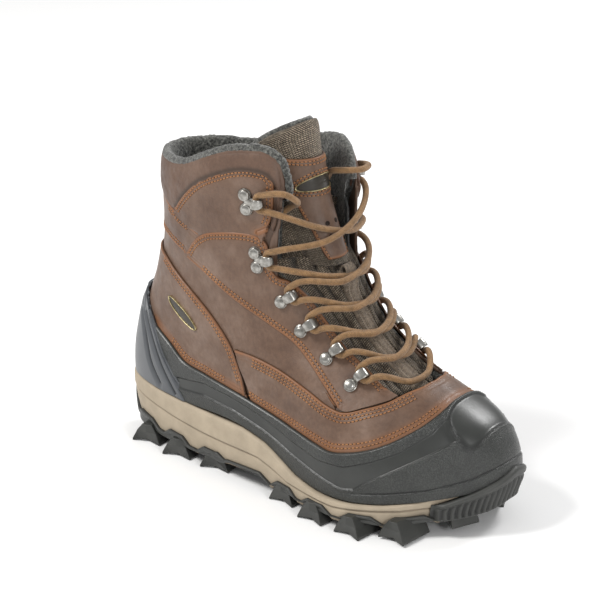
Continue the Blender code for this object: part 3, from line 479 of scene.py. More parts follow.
COLLAR_BOTTOM = ((-124, 193), (-97, 182), (-87, 181.5), (-77, 192), (-62, 205), (-45, 213.5),
                 (-31, 218.5), (-17, 219.5), (-8, 217), (-4.5, 211), (-4.5, 203), (-6.5, 187), (-8, 183))

# fittings: rivet place and the way towards the tongue, (x, z), top row first
FITTING_ROWS = (
    ((-19, 197), (8, 1)),
    ((-12.5, 159), (8, 1.5)),
    ((4, 135), (12, 9)),
    ((19, 118), (11, 8)),
    ((38.5, 103.5), (10, 9)),
    ((58.5, 90.5), (9, 8)),
)
HOOK_ROWS = 2  # the upper rows are open hooks on two rivets, the others closed loops on one
MEDIAL_FORWARD, MEDIAL_LIFT = 20.0, 9.0  # the inner side of the opening stands further forward
MEDIAL_EASE, MEDIAL_DROP = 0.45, 17.0  # and its collar is lower than the outer one

def spline(values, t):
    """Catmull-Rom curve through evenly spaced values, t from 0 to 1."""
    values = np.asarray(values, float)
    last = len(values) - 2
    t = np.clip(np.asarray(t, float), 0, 1) * (last + 1)
    i = np.minimum(t.astype(int), last)
    u = t - i
    b, c = values[i], values[i + 1]
    a = np.where(i == 0, 2 * b - c, values[np.maximum(i - 1, 0)])
    d = np.where(i == last, 2 * c - b, values[np.minimum(i + 2, last + 1)])
    return b + 0.5 * u * (c - a + u * (2 * a - 5 * b + 4 * c - d + u * (3 * (b - c) + d - a)))


def profile(s):
    """Back x, z, front x, z and roundness of the level s."""
    return [spline([level[k] for level in LEVELS], s) for k in range(5)]


def half_width(side, s, a):
    """Half width of the level s at a, from 0 at the back to 1 at the front."""
    table = [spline([level[side][k] for level in LEVELS], s) for k in range(5)]
    table = np.stack([np.broadcast_to(column, np.shape(a)) for column in table], -1)
    i = np.minimum((a * 4).astype(int), 3)
    u = a * 4 - i

    def column(k):
        return np.take_along_axis(table, np.clip(k, 0, 4)[..., None], -1)[..., 0]

    b, c = column(i), column(i + 1)
    before = np.where(i == 0, 2 * b - c, column(i - 1))
    after = np.where(i == 3, 2 * c - b, column(i + 2))
    bend = 2 * before - 5 * b + 4 * c - after + u * (3 * (b - c) + after - before)
    return b + 0.5 * u * (c - before + u * bend)


def skin(s, p):
    """Points of the form at (s, p), in millimetres."""
    s, p = np.broadcast_arrays(np.asarray(s, float), np.asarray(p, float))
    p = (p + 1) % 2 - 1
    back_x, back_z, front_x, front_z, roundness = profile(s)
    a = (1 - np.cos(np.pi * np.abs(p))) / 2
    full = np.maximum(1 - np.abs(2 * a - 1) ** roundness, 0) ** (1 / roundness)
    x = back_x + a * (front_x - back_x)
    z = back_z + a * (front_z - back_z)
    middle = np.interp(x, *zip(*CENTRE_LINE))
    y = np.where(p > 0, middle - half_width(5, s, a) * full, middle + half_width(6, s, a) * full)
    return np.stack([x, y, z], -1)


def outward(s, p):
    """Unit normals of the form at (s, p)."""
    step = 0.002
    up = skin(np.clip(s + step, 0, 1), p) - skin(np.clip(s - step, 0, 1), p)
    along = skin(s, p + step) - skin(s, p - step)
    across = np.cross(along, up)
    return across / np.linalg.norm(across, axis=-1, keepdims=True)


def locate(x, z):
    """(s, p) of side-view points, with p from 0 to 1."""
    x, z = np.asarray(x, float), np.asarray(z, float)
    low, high = np.zeros_like(x), np.ones_like(x)
    for _ in range(24):
        s = (low + high) / 2
        back_x, back_z, front_x, front_z, _ = profile(s)
        above = (front_x - back_x) * (z - back_z) > (front_z - back_z) * (x - back_x)
        low, high = np.where(above, s, low), np.where(above, high, s)
    length = (front_x - back_x) ** 2 + (front_z - back_z) ** 2
    a = ((x - back_x) * (front_x - back_x) + (z - back_z) * (front_z - back_z)) / length
    return s, np.arccos(1 - 2 * np.clip(a, 0, 1)) / math.pi


def step(value, start, end):
    """0 before start, 1 after end and smooth between them."""
    t = np.clip((np.asarray(value, float) - start) / (end - start), 0, 1)
    return t * t * (3 - 2 * t)


def inner_side(x, z):
    """The side-view point moved to where its twin on the inner side lies."""
    share = step(z, 122, 205) * step(x, -90, -10)
    near_top = step(z, 180, 230)
    drop = MEDIAL_DROP * near_top * step(x, -105, -45)
    return x + MEDIAL_FORWARD * share * (1 - MEDIAL_EASE * near_top), z + MEDIAL_LIFT * share - drop


def resample(points, count):
    """The same polyline with evenly spaced points."""
    points = np.asarray(points, float)
    travel = np.concatenate([[0], np.cumsum(np.linalg.norm(np.diff(points, axis=0), axis=1))])
    wanted = np.linspace(0, travel[-1], count)
    return np.stack([np.interp(wanted, travel, column) for column in points.T], 1)


def smoothed(points, count):
    """An evenly spaced smooth curve through the points."""
    points = np.asarray(points, float)
    if len(points) < 3:
        return resample(points, count)
    gaps = np.linalg.norm(np.diff(points, axis=0), axis=1)[:, None]
    slopes = np.diff(points, axis=0) / gaps
    tangents = np.empty_like(points)
    tangents[1:-1] = (slopes[:-1] * gaps[1:] + slopes[1:] * gaps[:-1]) / (gaps[1:] + gaps[:-1])
    tangents[0], tangents[-1] = slopes[0], slopes[-1]
    t = np.linspace(0, 1, 9)[:-1, None, None]
    start, end = points[:-1], points[1:]
    bent = (
        start * (1 - t) ** 2 * (1 + 2 * t)
        + end * t ** 2 * (3 - 2 * t)
        + gaps * (tangents[:-1] * t * (1 - t) ** 2 - tangents[1:] * t ** 2 * (1 - t))
    )
    return resample(np.concatenate([np.moveaxis(bent, 0, 1).reshape(-1, points.shape[1]), points[-1:]]),
                    count)


def trace(curve, side, count):
    """(s, p) along a side-view curve, on the outer side, +1, or the inner side, -1."""
    x, z = smoothed(curve, count).T
    if side < 0:
        x, z = inner_side(x, z)
    s, p = locate(x, z)
    return np.stack([s, side * p], 1)


def ruled(lower, upper, t):
    """Places between two lines of places, at the shares t."""
    t = np.asarray(t)[None, :, None]
    return lower[:, None] * (1 - t) + upper[:, None] * t


def spring(x):
    """How far the toe of the sole lifts off the ground."""
    share = np.clip((np.asarray(x) - SPRING_START) / (SPRING_END - SPRING_START), 0, None)
    return GROUND_LIFT * share ** 2


def wall(z, out, p):
    """The form's outline at the heights z, moved outwards in plan; z and out may vary with p."""
    z = np.broadcast_to(np.asarray(z, float), p.shape)
    low, high = np.zeros_like(p), np.ones_like(p)
    for _ in range(24):
        s = (low + high) / 2
        above = skin(s, p)[..., 2] < z
        low, high = np.where(above, s, low), np.where(above, high, s)
    point = skin(low, p)
    along = skin(low, p + 0.01) - skin(low, p - 0.01)
    away = np.stack([along[..., 1], -along[..., 0], 0 * p], -1)
    away /= np.linalg.norm(away, axis=-1, keepdims=True)
    point[..., 2] = z
    return point + away * np.asarray(out, float)[..., None]


def tongue_skin(up, across):
    """Points on the front of the upper tongue: up 0 to 1, across -1 inner to +1 outer."""
    up, across = np.broadcast_arrays(np.asarray(up, float), np.asarray(across, float))
    x, z = (spline(column, up) for column in zip(*TONGUE_FRONT))
    low, high = (np.where(across > 0, *pair) for pair in zip(TONGUE_OUTER, TONGUE_INNER))
    half = low + (high - low) * up ** 2
    drop = TONGUE_DROP[0] + (TONGUE_DROP[1] - TONGUE_DROP[0]) * up
    turn = TONGUE_ARC * across
    back = drop * (1 - np.cos(turn)) / (1 - math.cos(TONGUE_ARC))
    y = TONGUE_MIDDLE - half * np.sin(turn) / math.sin(TONGUE_ARC)
    return np.stack([x - back, y, z - TONGUE_CORNER_FALL * up * across ** 2], -1)


def tongue_outward(up, across):
    step = 0.01
    up = np.clip(up, step, 1 - step)
    rise = tongue_skin(up + step, across) - tongue_skin(up - step, across)
    over = tongue_skin(up, across + step) - tongue_skin(up, across - step)
    away = np.cross(rise, over)
    return away / np.linalg.norm(away, axis=-1, keepdims=True)


def fitting_frame(row, side):
    """Where a fitting sits: x towards the tongue, y up along the facing, z away from the leather."""
    (x, z), (dx, dz) = FITTING_ROWS[row]
    ahead = (x + dx, z + dz)
    if side < 0:
        x, z = inner_side(x, z)
        ahead = inner_side(*ahead)
    s, p = locate(x, z)
    centre = skin(s, side * p)
    away = outward(np.float64(s), np.float64(side * p))
    s, p = locate(*ahead)
    forward = skin(s, side * p) - centre
    forward -= away * forward.dot(away)
    forward /= np.linalg.norm(forward)
    up = np.cross(away, forward)
    if up[2] < 0:
        up = -up
    return centre, forward, up, away


def in_frame(frame, u, v, n):
    centre, forward, up, away = frame
    return centre + forward * u + up * v + away * n


def over_tongue(row, height):
    """The point above the middle of the tongue where the strands below a row cross."""
    if row == 0:
        up = UPPER_CROSSING
        return tongue_skin(up, 0.0) + tongue_outward(np.float64(up), np.float64(0)) * (height + 1.7)
    s = CROSSINGS[row - 1]
    return skin(s, 1.0) + outward(np.float64(s), np.float64(1.0)) * (height + OVERLAY_TOP)


def bend(row, side, upwards):
    """The lace's turn behind the neck of a fitting."""
    frame = fitting_frame(row, side)
    turn = ((10.0, -5.6, 4.5), (4.5, -4.5, 4.2), (4.5, 4.5, 4.2), (10.0, 5.6, 4.5))
    points = [in_frame(frame, *place) for place in turn]
    return points if upwards else points[::-1]


def strand(start, end, middle):
    """Two points of the run from one fitting to the next, by way of the middle."""
    return [
        start * (1 - t) * (1 - 2 * t) + middle * 4 * t * (1 - t) + end * t * (2 * t - 1)
        for t in (0.34, 0.66)
    ]


def lace_points():
    """The lace from one tucked end to the other, row by row."""
    points = [np.array(place, float) for place in TUCKED_OUTER[::-1]]
    last = len(FITTING_ROWS) - 1
    side = 1
    turns = [(row, False) for row in range(last + 1)] + [(row, True) for row in range(last, -1, -1)]
    for number, (row, upwards) in enumerate(turns):
        turn = bend(row, side, upwards)
        if number == last + 1:
            points += strand(points[-1], turn[0], over_tongue(last + 1, THROAT_HEIGHT))
        elif number:
            gap = row if upwards else row - 1
            on_top = (gap % 2 == 0) == upwards
            points += strand(points[-1], turn[0], over_tongue(gap, OVER if on_top else UNDER))
        points += turn
        side = -side
    return np.array(points + [np.array(place, float) for place in TUCKED_INNER])




# ---- mesh building --------------------------------------------------------------------
MATERIALS = {}
SURFACES = []  # (points, faces) of what stitches and rivets lie on


def place(points):
    return (np.asarray(points, float).reshape(-1, 3) + SHIFT) * MM


def build(name, points, faces, finish, body="boot", nodes=(), slot=None, uv=None, masks=None, sharp=None):
    """A piece from points in millimetres, with its material, body and the CAD nodes it stands for."""
    mesh = bpy.data.meshes.new(name)
    mesh.from_pydata(place(points).tolist(), [], faces)
    mesh.shade_smooth()
    if sharp is not None:
        mesh.set_sharp_from_angle(angle=math.radians(sharp))
    if uv is not None:
        layer = mesh.uv_layers.new(name="UVMap")
        corners = np.empty(len(mesh.loops), np.int32)
        mesh.loops.foreach_get("vertex_index", corners)
        layer.data.foreach_set("uv", np.asarray(uv, np.float32).reshape(-1, 2)[corners].ravel())
    for key, values in (masks or {}).items():
        mask = mesh.attributes.new(key, "FLOAT", "POINT")
        mask.data.foreach_set("value", np.clip(np.asarray(values, np.float32).ravel(), 0, 1))
    piece = bpy.data.objects.new(name, mesh)
    bpy.context.scene.collection.objects.link(piece)
    mesh.materials.append(MATERIALS[finish])
    if body:
        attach(piece, body)
    if nodes:
        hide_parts(*nodes)
    return piece


def quads(rows, columns, wrap=False):
    i, j = np.meshgrid(np.arange(rows if wrap else rows - 1), np.arange(columns - 1), indexing="ij")
    k = (i + 1) % rows
    return np.stack([i * columns + j, k * columns + j, k * columns + j + 1, i * columns + j + 1],
                    -1).reshape(-1, 4).tolist()


def lengths(points):
    """Distances along both directions of a grid, in millimetres, as a UV map."""
    u = np.zeros(points.shape[:2])
    v = np.zeros(points.shape[:2])
    u[1:] = np.cumsum(np.linalg.norm(np.diff(points, axis=0), axis=-1), axis=0)
    v[:, 1:] = np.cumsum(np.linalg.norm(np.diff(points, axis=1), axis=-1), axis=1)
    u[:] = u.mean(axis=1)[:, None]
    return np.stack([u, v], -1)


def add_grid(name, points, finish, thickness=0.0, wrap=False, surface=False, **more):
    """A piece from a grid of points whose faces look outwards."""
    faces = quads(points.shape[0], points.shape[1], wrap)
    if surface:
        SURFACES.append((points.reshape(-1, 3), faces))
    more.setdefault("uv", lengths(points))
    piece = build(name, points, faces, finish, **more)
    if thickness:
        solid = piece.modifiers.new("thickness", "SOLIDIFY")
        solid.thickness = thickness * MM
        solid.offset = -1
    return piece


def distance(points, lines):
    """Distance of each point from the nearest of the polylines."""
    flat = points.reshape(-1, 3)
    best = np.full(len(flat), 1e9)
    for line in lines:
        starts, steps = line[:-1], np.diff(line, axis=0)
        squares = np.maximum((steps ** 2).sum(1), 1e-9)
        for start, stepping, square in zip(starts, steps, squares):
            offset = flat - start
            t = np.clip(offset @ stepping / square, 0, 1)
            best = np.minimum(best, ((offset - t[:, None] * stepping) ** 2).sum(1))
    return np.sqrt(best).reshape(points.shape[:-1])


def waves(points, size, seed):
    """A smooth random field from -1 to 1 with features about size across."""
    rng = np.random.default_rng(seed)
    total = np.zeros(points.shape[:-1])
    for _ in range(9):
        direction = rng.normal(size=3)
        direction *= rng.uniform(0.6, 1.5) / np.linalg.norm(direction)
        total += np.sin(points @ direction * 2 * math.pi / size + rng.uniform(0, 6.28))
    return total / 4.5


def raised(lines, points, top, thick=1.7, radius=1.2):
    """Height above the form of leather whose edge, along the lines, is rounded."""
    d = distance(points, lines)
    inside = 1 - np.clip(d / radius, 0, 1)
    height = top - thick + thick * np.sqrt(1 - inside ** 2)
    for row in STITCH_ROWS:
        height -= 0.22 * np.exp(-((d - row) / 0.65) ** 2)
    height += 0.14 * np.exp(-((d - 1.3) / 0.8) ** 2)
    return height, d


STITCH_ROWS = (2.3, 4.5)


def spread(count, power=0.75):
    """Shares from 0 to 1 that crowd towards both ends."""
    t = np.linspace(0, 1, count)
    return (1 - power) * t + power * (0.5 - 0.5 * np.cos(math.pi * t))


def on_line(curve, side, count):
    """(s, p) along a side-view curve without the stretches that lie past the form's heel or toe line."""
    found = trace(curve, side, 6 * count)
    inside = np.flatnonzero((np.abs(found[:, 1]) > 1e-3) & (np.abs(found[:, 1]) < 0.999))
    found = found[max(inside[0] - 1, 0):inside[-1] + 2]
    travel = np.concatenate([[0], np.cumsum(np.linalg.norm(np.diff(skin(found[:, 0], found[:, 1]), axis=0),
                                                           axis=1))])
    wanted = np.linspace(0, travel[-1], count)
    return np.stack([np.interp(wanted, travel, column) for column in found.T], 1)


def joined(lower, upper, along, t, over_toe=False, tuck=(0.0, 0.0), side=None):
    """Places between two side-view curves: on one side, or on both with a join at the heel or the toe."""
    grids = []
    for one in (1, -1) if side is None else (side,):
        bottom, top = on_line(lower, one, along), on_line(upper, one, along)
        bottom[:, 0] -= tuck[0]
        top[:, 0] += tuck[1]
        grids.append(ruled(bottom, top, t))
    if side is not None:
        return grids[0] if side > 0 else grids[0][::-1]
    outer, inner = grids
    if over_toe:
        outer[-1, :, 1] = inner[-1, :, 1] = 1
        inner[:-1, :, 1] += 2
        return np.concatenate([outer, inner[-2::-1]])
    outer[0, :, 1] = 0
    return np.concatenate([inner[:0:-1], outer])


def on_form(curves, side, count=90):
    """Side-view curves as polylines on the form. The side 0 means both."""
    lines = []
    for curve in curves:
        for one in (1, -1) if side == 0 else (side,):
            found = trace(curve, one, count)
            lines.append(skin(found[:, 0], found[:, 1]))
    return lines


# ---- leather ---------------------------------------------------------------------------
def add_leather(name, places, edges, side, top, nodes, worn=(), tucked=0.0):
    """A leather panel with rounded, burnished edges and painted shade along them."""
    s, p = places[..., 0], places[..., 1]
    base = skin(s, p)
    height, d = raised(on_form(edges, side), base, top)
    height += 0.16 * waves(base, 34, 3) + 0.07 * waves(base, 11, 5)
    if tucked:
        height -= 1.1 * (1 - step(np.broadcast_to(np.linspace(0, 1, s.shape[1]), s.shape), 0.3 * tucked,
                                  tucked))
    points = base + outward(s, p) * height[..., None]
    edge = 0.8 * np.exp(-((d - 0.7) / 1.2) ** 2) + 0.16 * np.exp(-(d / 6.0) ** 2)
    # painted shade: a dark line along the panel's own edges, where the rounded edge meets what lies under it
    painted_shade = 0.75 * np.exp(-(d / 0.45) ** 2)
    if worn:
        low = distance(base, on_form(worn, side))
        edge = np.maximum(edge, 0.6 * np.exp(-(low / 6.0) ** 4))
        for row in (2.4, 4.9):
            points -= outward(s, p) * (0.22 * np.exp(-((low - row) / 0.65) ** 2))[..., None]
    return add_grid(name, points, "leather", 1.3, surface=True, nodes=nodes, slot="leather",
                    masks={"edge": edge, "painted_shade": painted_shade})


FACING_TOP = ANKLE_ARC[:5] + ((-19, 174.5), (-12, 171), (-8.5, 163), (-7.5, 154),
                              (-3, 148.5)) + FACING_EDGE[2:]
HEEL_EDGE = HEEL_SEAM + ((-31, 84), (-26.5, 73), (-24, 62))
VAMP_TOP = VAMP_SEAM + ((93, 87.5), (94, 88))


def add_upper():
    wide = spread(64)
    for side, word in ((1, "lateral"), (-1, "medial")):
        add_leather(word + "_quarter_leather",
                    joined(HEEL_SEAM + VAMP_SEAM[:5], STRAP_BOTTOM[:2] + shifted(ANKLE_SEAM, 0.5), 170, wide,
                           tuck=(0.022, 0.02), side=side), (), side, 0.2, (word + "_quarter",))
        add_leather(word + "_cuff_leather",
                    joined(((-90, 177), (-70, 171.5), (-59, 169), (-43, 173), (-29, 174.5), (-12, 171)),
                           CUFF_ARC, 170,
                           wide, tuck=(0.025, 0.0), side=side), (CUFF_ARC,), side, 0.9, (word + "_cuff",),
                           tucked=0.2)
        add_leather(word + "_facing_leather",
                    joined(ANKLE_SEAM + shifted(VAMP_SEAM[5:8], 0.7), FACING_TOP, 260, wide, side=side),
                    (ANKLE_SEAM, FACING_TOP[:-1]), side, 1.3, (word + "_facing",))
    add_leather("strap_leather", joined(STRAP_BOTTOM + ((-68, 146),), STRAP_TOP + ((-55, 163),), 130,
                                        spread(40)),
                (STRAP_TOP, STRAP_BOTTOM), 0, 0.5, ("achilles_strap",))
    add_leather("vamp_leather", joined(((-21, 62.5),) + RUBBER_EDGE[6:], VAMP_TOP, 230, wide, over_toe=True,
                                       tuck=(0.03, 0.0)), (VAMP_TOP,), 0, 1.8, ("vamp",),
                                       worn=(RUBBER_EDGE[5:],))
    add_leather("heel_leather", joined(((-140, 107), (-127, 102),
                                        (-113, 89)) + RUBBER_EDGE[1:5] + ((-24, 62),),
                                       HEEL_EDGE, 190, wide, tuck=(0.03, 0.0)), (HEEL_EDGE,), 0, 2.0,
                                       ("heel_panel",),
                worn=(RUBBER_EDGE[:6],))
    add_collar()
    add_underlay()


def add_underlay():
    """The leather's inner layer, which shows wherever two panels leave a gap, painted a little darker as
    shade.
    """
    places = joined(RUBBER_EDGE, OPENING, 300, np.linspace(0, 0.985, 60), tuck=(0.03, 0.0))
    s, p = places[..., 0], places[..., 1]
    points = skin(s, p) - outward(s, p) * 1.0
    blank = 0 * s
    # painted shade: the layer is darkened by a fifth, as the gaps it shows through lie in shade
    add_grid("upper_underlay", points, "leather", 1.0, slot="leather",
             masks={"edge": blank, "painted_shade": blank + 0.2})


def shifted(curve, lift):
    return tuple((x, z + lift) for x, z in curve)


def add_collar():
    """The padded collar: it swells from under the cuff and rolls over into the felt."""
    t = np.linspace(0, 1, 46)
    places = joined(COLLAR_BOTTOM, COLLAR_TOP, 230, t, tuck=(0.02, 0.0))
    s, p = places[..., 0], places[..., 1]
    base = skin(s, p)
    swell = -0.8 + 2.2 * np.sin(math.pi * np.clip(t, 0, 1) ** 0.7) ** 0.7
    creases = 0.22 * waves(base * (1, 1, 0.35), 16, 9) * np.sin(math.pi * t) + 0.12 * waves(base, 7, 2)
    away = outward(s, p)
    points = base + away * (swell + creases)[..., None]
    turn = np.linspace(0, 1.9, 12)[1:]
    rise = edge_rise(points, away[:, -1])
    roll = points[:, -1:] + 2.6 * (
        rise[:, None] * np.sin(turn)[None, :, None] - away[:, -1][:, None] * (1 - np.cos(turn))[None, :,
                                                                                                None])
    points = np.concatenate([points, roll], axis=1)
    # painted shade: a dark band on the collar along the cuff's edge, which lies over it
    d = distance(base, on_form((CUFF_ARC,), 0))
    painted_shade = np.pad(0.8 * np.exp(-(d / 1.6) ** 2), ((0, 0), (0, len(turn))))
    collar = add_grid("collar_leather", points, "collar_leather", 0.9, nodes=("collar",),
                      slot="collar_leather",
             masks={"painted_shade": painted_shade, "edge": 0 * painted_shade}, surface=True)


# ---- stitches ----------------------------------------------------------------------------
def stitch_place(curve, side, offset, pitch):
    """Points, directions and normals of stitches along a side-view curve, offset across it."""
    found = trace(curve, side, 260)
    line = skin(found[:, 0], found[:, 1])
    normals = outward(found[:, 0], found[:, 1])
    along = np.gradient(line, axis=0)
    along /= np.linalg.norm(along, axis=1, keepdims=True)
    across = np.cross(normals, along) * side
    line = line + across * offset
    travel = np.concatenate([[0], np.cumsum(np.linalg.norm(np.diff(line, axis=0), axis=1))])
    count = int(travel[-1] / pitch)
    wanted = (np.arange(count) + 0.5) * travel[-1] / max(count, 1)

    def at(values):
        return np.stack([np.interp(wanted, travel, column) for column in values.T], 1)

    return at(line), at(along), at(normals)


def add_stitches(name, rows, body="boot", pitch=2.6, radius=0.46, surface=None, finish="thread",
                 slot="leather"):
    """Rows of thread, each (points, directions, normals), with a dark disc of painted shade for the hole at
    each end of a stitch.
    """
    points, faces = [], []
    hole_points, hole_faces = [], []
    ring = np.linspace(0, 2 * math.pi, 6, endpoint=False)
    for places, directions, normals in rows:
        for centre, direction, normal in zip(places, directions, normals):
            if surface is not None:
                hit = surface.ray_cast(Vector(centre + normal * 7), Vector(-normal), 11)
                if hit[0] is None:
                    continue
                centre, normal = np.array(hit[0]), np.array(hit[1])
                if normal @ (-np.array(hit[1])) > 0:
                    normal = -normal
            direction = direction - normal * (direction @ normal)
            direction /= np.linalg.norm(direction)
            across = np.cross(normal, direction)
            start = len(points)
            for t, size, lift in ((-0.47, 0.35, -0.1), (-0.28, 0.9, 0.16), (0.28, 0.9, 0.16),
                                  (0.47, 0.35, -0.1)):
                for angle in ring:
                    points.append(centre + direction * t * pitch * 0.8 + radius * size * (
                        across * math.cos(angle) * 1.15 + normal * math.sin(angle)) + normal * lift)
            for k in range(3):
                for i in range(6):
                    a, b = start + k * 6 + i, start + k * 6 + (i + 1) % 6
                    faces.append((a, b, b + 6, a + 6))
            faces.append(tuple(start + i for i in range(6))[::-1])
            faces.append(tuple(start + 18 + i for i in range(6)))
            # painted shade: a flat near-black disc on the leather stands for the shade inside each stitch
            # hole
            middle = centre + direction * pitch * 0.5
            start = len(hole_points)
            hole_points.append(middle + normal * 0.1)
            for angle in ring:
                spoke = across * math.cos(angle) + direction * math.sin(angle)
                hole_points.append(middle + 0.42 * spoke + normal * 0.04)
            hole_faces += [(start, start + 1 + i, start + 1 + (i + 1) % 6) for i in range(6)]
    build(name, points, faces, finish, body=body, slot=slot)
    build(name + "_hole_shade", hole_points, hole_faces, "hole_shade", body=body, slot=slot)


def surface_tree():
    points, faces, start = [], [], 0
    for one, some in SURFACES:
        points.append(one)
        faces += (np.asarray(some) + start).tolist()
        start += len(one)
    return BVHTree.FromPolygons([Vector(p) for p in np.concatenate(points)], faces)


def add_seams(tree):
    """Every row of stitches on the upper: curve, offsets to the raised side."""
    for side, word in ((1, "lateral"), (-1, "medial")):
        rows = []
        for curve, offsets in (
            (HEEL_EDGE[1:-1], (-2.3, -4.5)),
            (VAMP_SEAM[1:], (-2.3, -4.5, -6.7)),
            (ANKLE_SEAM[1:], (2.3, 4.5)),
            (FACING_TOP[:-1], (-2.3, -4.5)),
            (CUFF_ARC[:-1], (-2.3, -4.5)),
            (STRAP_TOP[1:-1], (-2.3, -4.5)),
            (STRAP_BOTTOM, (2.3, 4.5)),
            (RUBBER_EDGE[1:5], (2.4, 4.9)),
            (RUBBER_EDGE[5:-1], (2.4, 4.9)),
        ):
            rows += [stitch_place(curve, side, offset, 2.6) for offset in offsets]
        add_stitches(word + "_stitching", rows, surface=tree)


# ---- rubber shell --------------------------------------------------------------------------
GROOVE = ((-100, 57), (-92, 58), (-61, 62), (-34, 60), (-7, 54), (20, 46), (46, 41), (66, 42), (83, 48),
          (98, 55),
          (112, 66), (118, 76), (140, 80))
LOWER_BAND = ((-100, 50), (-88, 51), (-61, 53.5), (-34, 51), (-7, 45), (20, 37), (46, 31), (64, 27.5),
              (73, 29),
              (79, 34), (96, 44), (113, 54), (126, 62), (140, 80))
LEDGE = ((60, 24), (91, 29), (114, 33), (136, 40), (150, 48))


def dip(d, depth, width):
    return depth * np.exp(-(d / width) ** 2)


def add_shell():
    line = [(x, z + 1.0) for x, z in MIDSOLE_EDGE if x > -78]
    line[0] = (-82, 43.5)
    places = joined(line, RUBBER_EDGE, 380, np.linspace(0, 1, 120), over_toe=True)
    s, p = places[..., 0], places[..., 1]
    base = skin(s, p)
    x, y, z = base[..., 0], base[..., 1], base[..., 2]
    under = step(np.interp(x, *zip(*GROOVE)) - z, -0.8, 0.8)
    over = step(z - np.interp(x, *zip(*LOWER_BAND)), -0.8, 0.8)
    back_of_arm = step((127.5 - x) - (z - 58) * 0.75, -0.9, 0.9)
    inwards = 12 * (1 - ((np.abs(x - 125) / 11) ** 3.4 + (np.abs(y - 3) / 23) ** 3.4) ** (1 / 3.4))
    window = step(inwards, -1.2, 0.8)
    smooth = np.maximum(under * over * back_of_arm, window)
    ledge_z = np.interp(x, *zip(*LEDGE))
    below_ledge = step(ledge_z - z, 0, 0.6) * step(x, 62, 76)
    height = 4.3 - 0.85 * smooth + 0.5 * below_ledge * (1 - smooth)
    height -= dip(z - ledge_z, 0.55, 0.7) * step(x, 66, 90)
    height += dip(inwards + 1.6, 0.5, 0.8) * step(z, 50, 60)
    height += dip(z - np.interp(x, *zip(*LOWER_BAND)) + 0.9, 0.3, 0.9) * back_of_arm
    rim = distance(base, on_form((RUBBER_EDGE,), 0, 120))
    height -= 2.2 * (1 - np.sqrt(1 - (1 - np.clip(rim / 1.5, 0, 1)) ** 2))
    height += 0.06 * waves(base, 30, 4)
    stipple = (1 - smooth) * step(rim, 0.6, 1.6)
    # painted shade: darker in the groove under the ledge and on the walls round the smooth recessed band and
    # window
    painted_shade = 0.55 * dip(z - ledge_z, 1, 0.8) * step(x, 66, 90) + 0.5 * smooth * (1 - smooth) * 4
    points = base + outward(s, p) * height[..., None]
    add_grid("rubber_lower", points, "shell_rubber", 2.0, nodes=("rubber_shell",), slot="shell_rubber",
             masks={"stipple": stipple, "painted_shade": painted_shade})


STABILISER_SLOTS = (((-127, 93), (-121, 79), (-113, 60), (-104, 49)),
                    ((-121, 94), (-111, 76), (-101, 61), (-88, 46)))


def add_stabiliser():
    places = joined(((-150, 46.5), (-110, 45.5), (-79, 43.5)), ((-133, 110), (-125, 104), (-111.5, 88)), 150,
                    np.linspace(0, 1, 110))
    s, p = places[..., 0], places[..., 1]
    base = skin(s, p)
    border = on_form((((-128, 105), (-113, 88), (-104, 73), (-92, 59), (-79, 43.5)),), 0)
    rim = distance(base, border)
    height = 5.3 - 3.0 * (1 - np.sqrt(1 - (1 - np.clip(rim / 1.3, 0, 1)) ** 2))
    slots = distance(base, on_form(STABILISER_SLOTS, 0))
    height -= dip(slots, 1.7, 0.9)
    height += 0.9 * step(slots, 1.0, 4.0) * step(rim, 2, 6) * step(-base[..., 0], 84, 110)
    points = base + outward(s, p) * height[..., None]
    # painted shade in the recessed slots
    add_grid("heel_support", points, "heel_rubber", 2.0, nodes=("heel_stabiliser",), slot="heel_rubber",
             masks={"stipple": 0 * rim, "painted_shade": 0.95 * dip(slots, 1, 0.8)})


# ---- sole -----------------------------------------------------------------------------------
def ring_values(count):
    p = np.linspace(-1, 1, count, endpoint=False)
    return p, skin(0 * p, p)[:, 0]


def lug_edge(plan_x, p):
    """Height of the outsole's wrapped edge: it climbs over each lug, and higher at the back of the heel."""
    base = np.interp(plan_x, (-142, -110, -50, -38, -8, 2, 110, 140),
                     (17, 13.5, 11, 13.5, 14, 9, 8.5, 8)) + spring(plan_x)
    peaks = np.zeros_like(plan_x)
    for centre in LUG_CENTRES:
        peaks = np.maximum(peaks, np.clip((13 - np.abs(plan_x - centre)) / 6.5, 0, 1))
    tab = np.clip(1 - np.abs(p) / 0.085, 0, 1)
    return base + 4.6 * peaks + 15 * np.minimum(tab * 1.8, 1)


LUG_CENTRES = (-120, -88, -54, 16, 47, 78, 106)


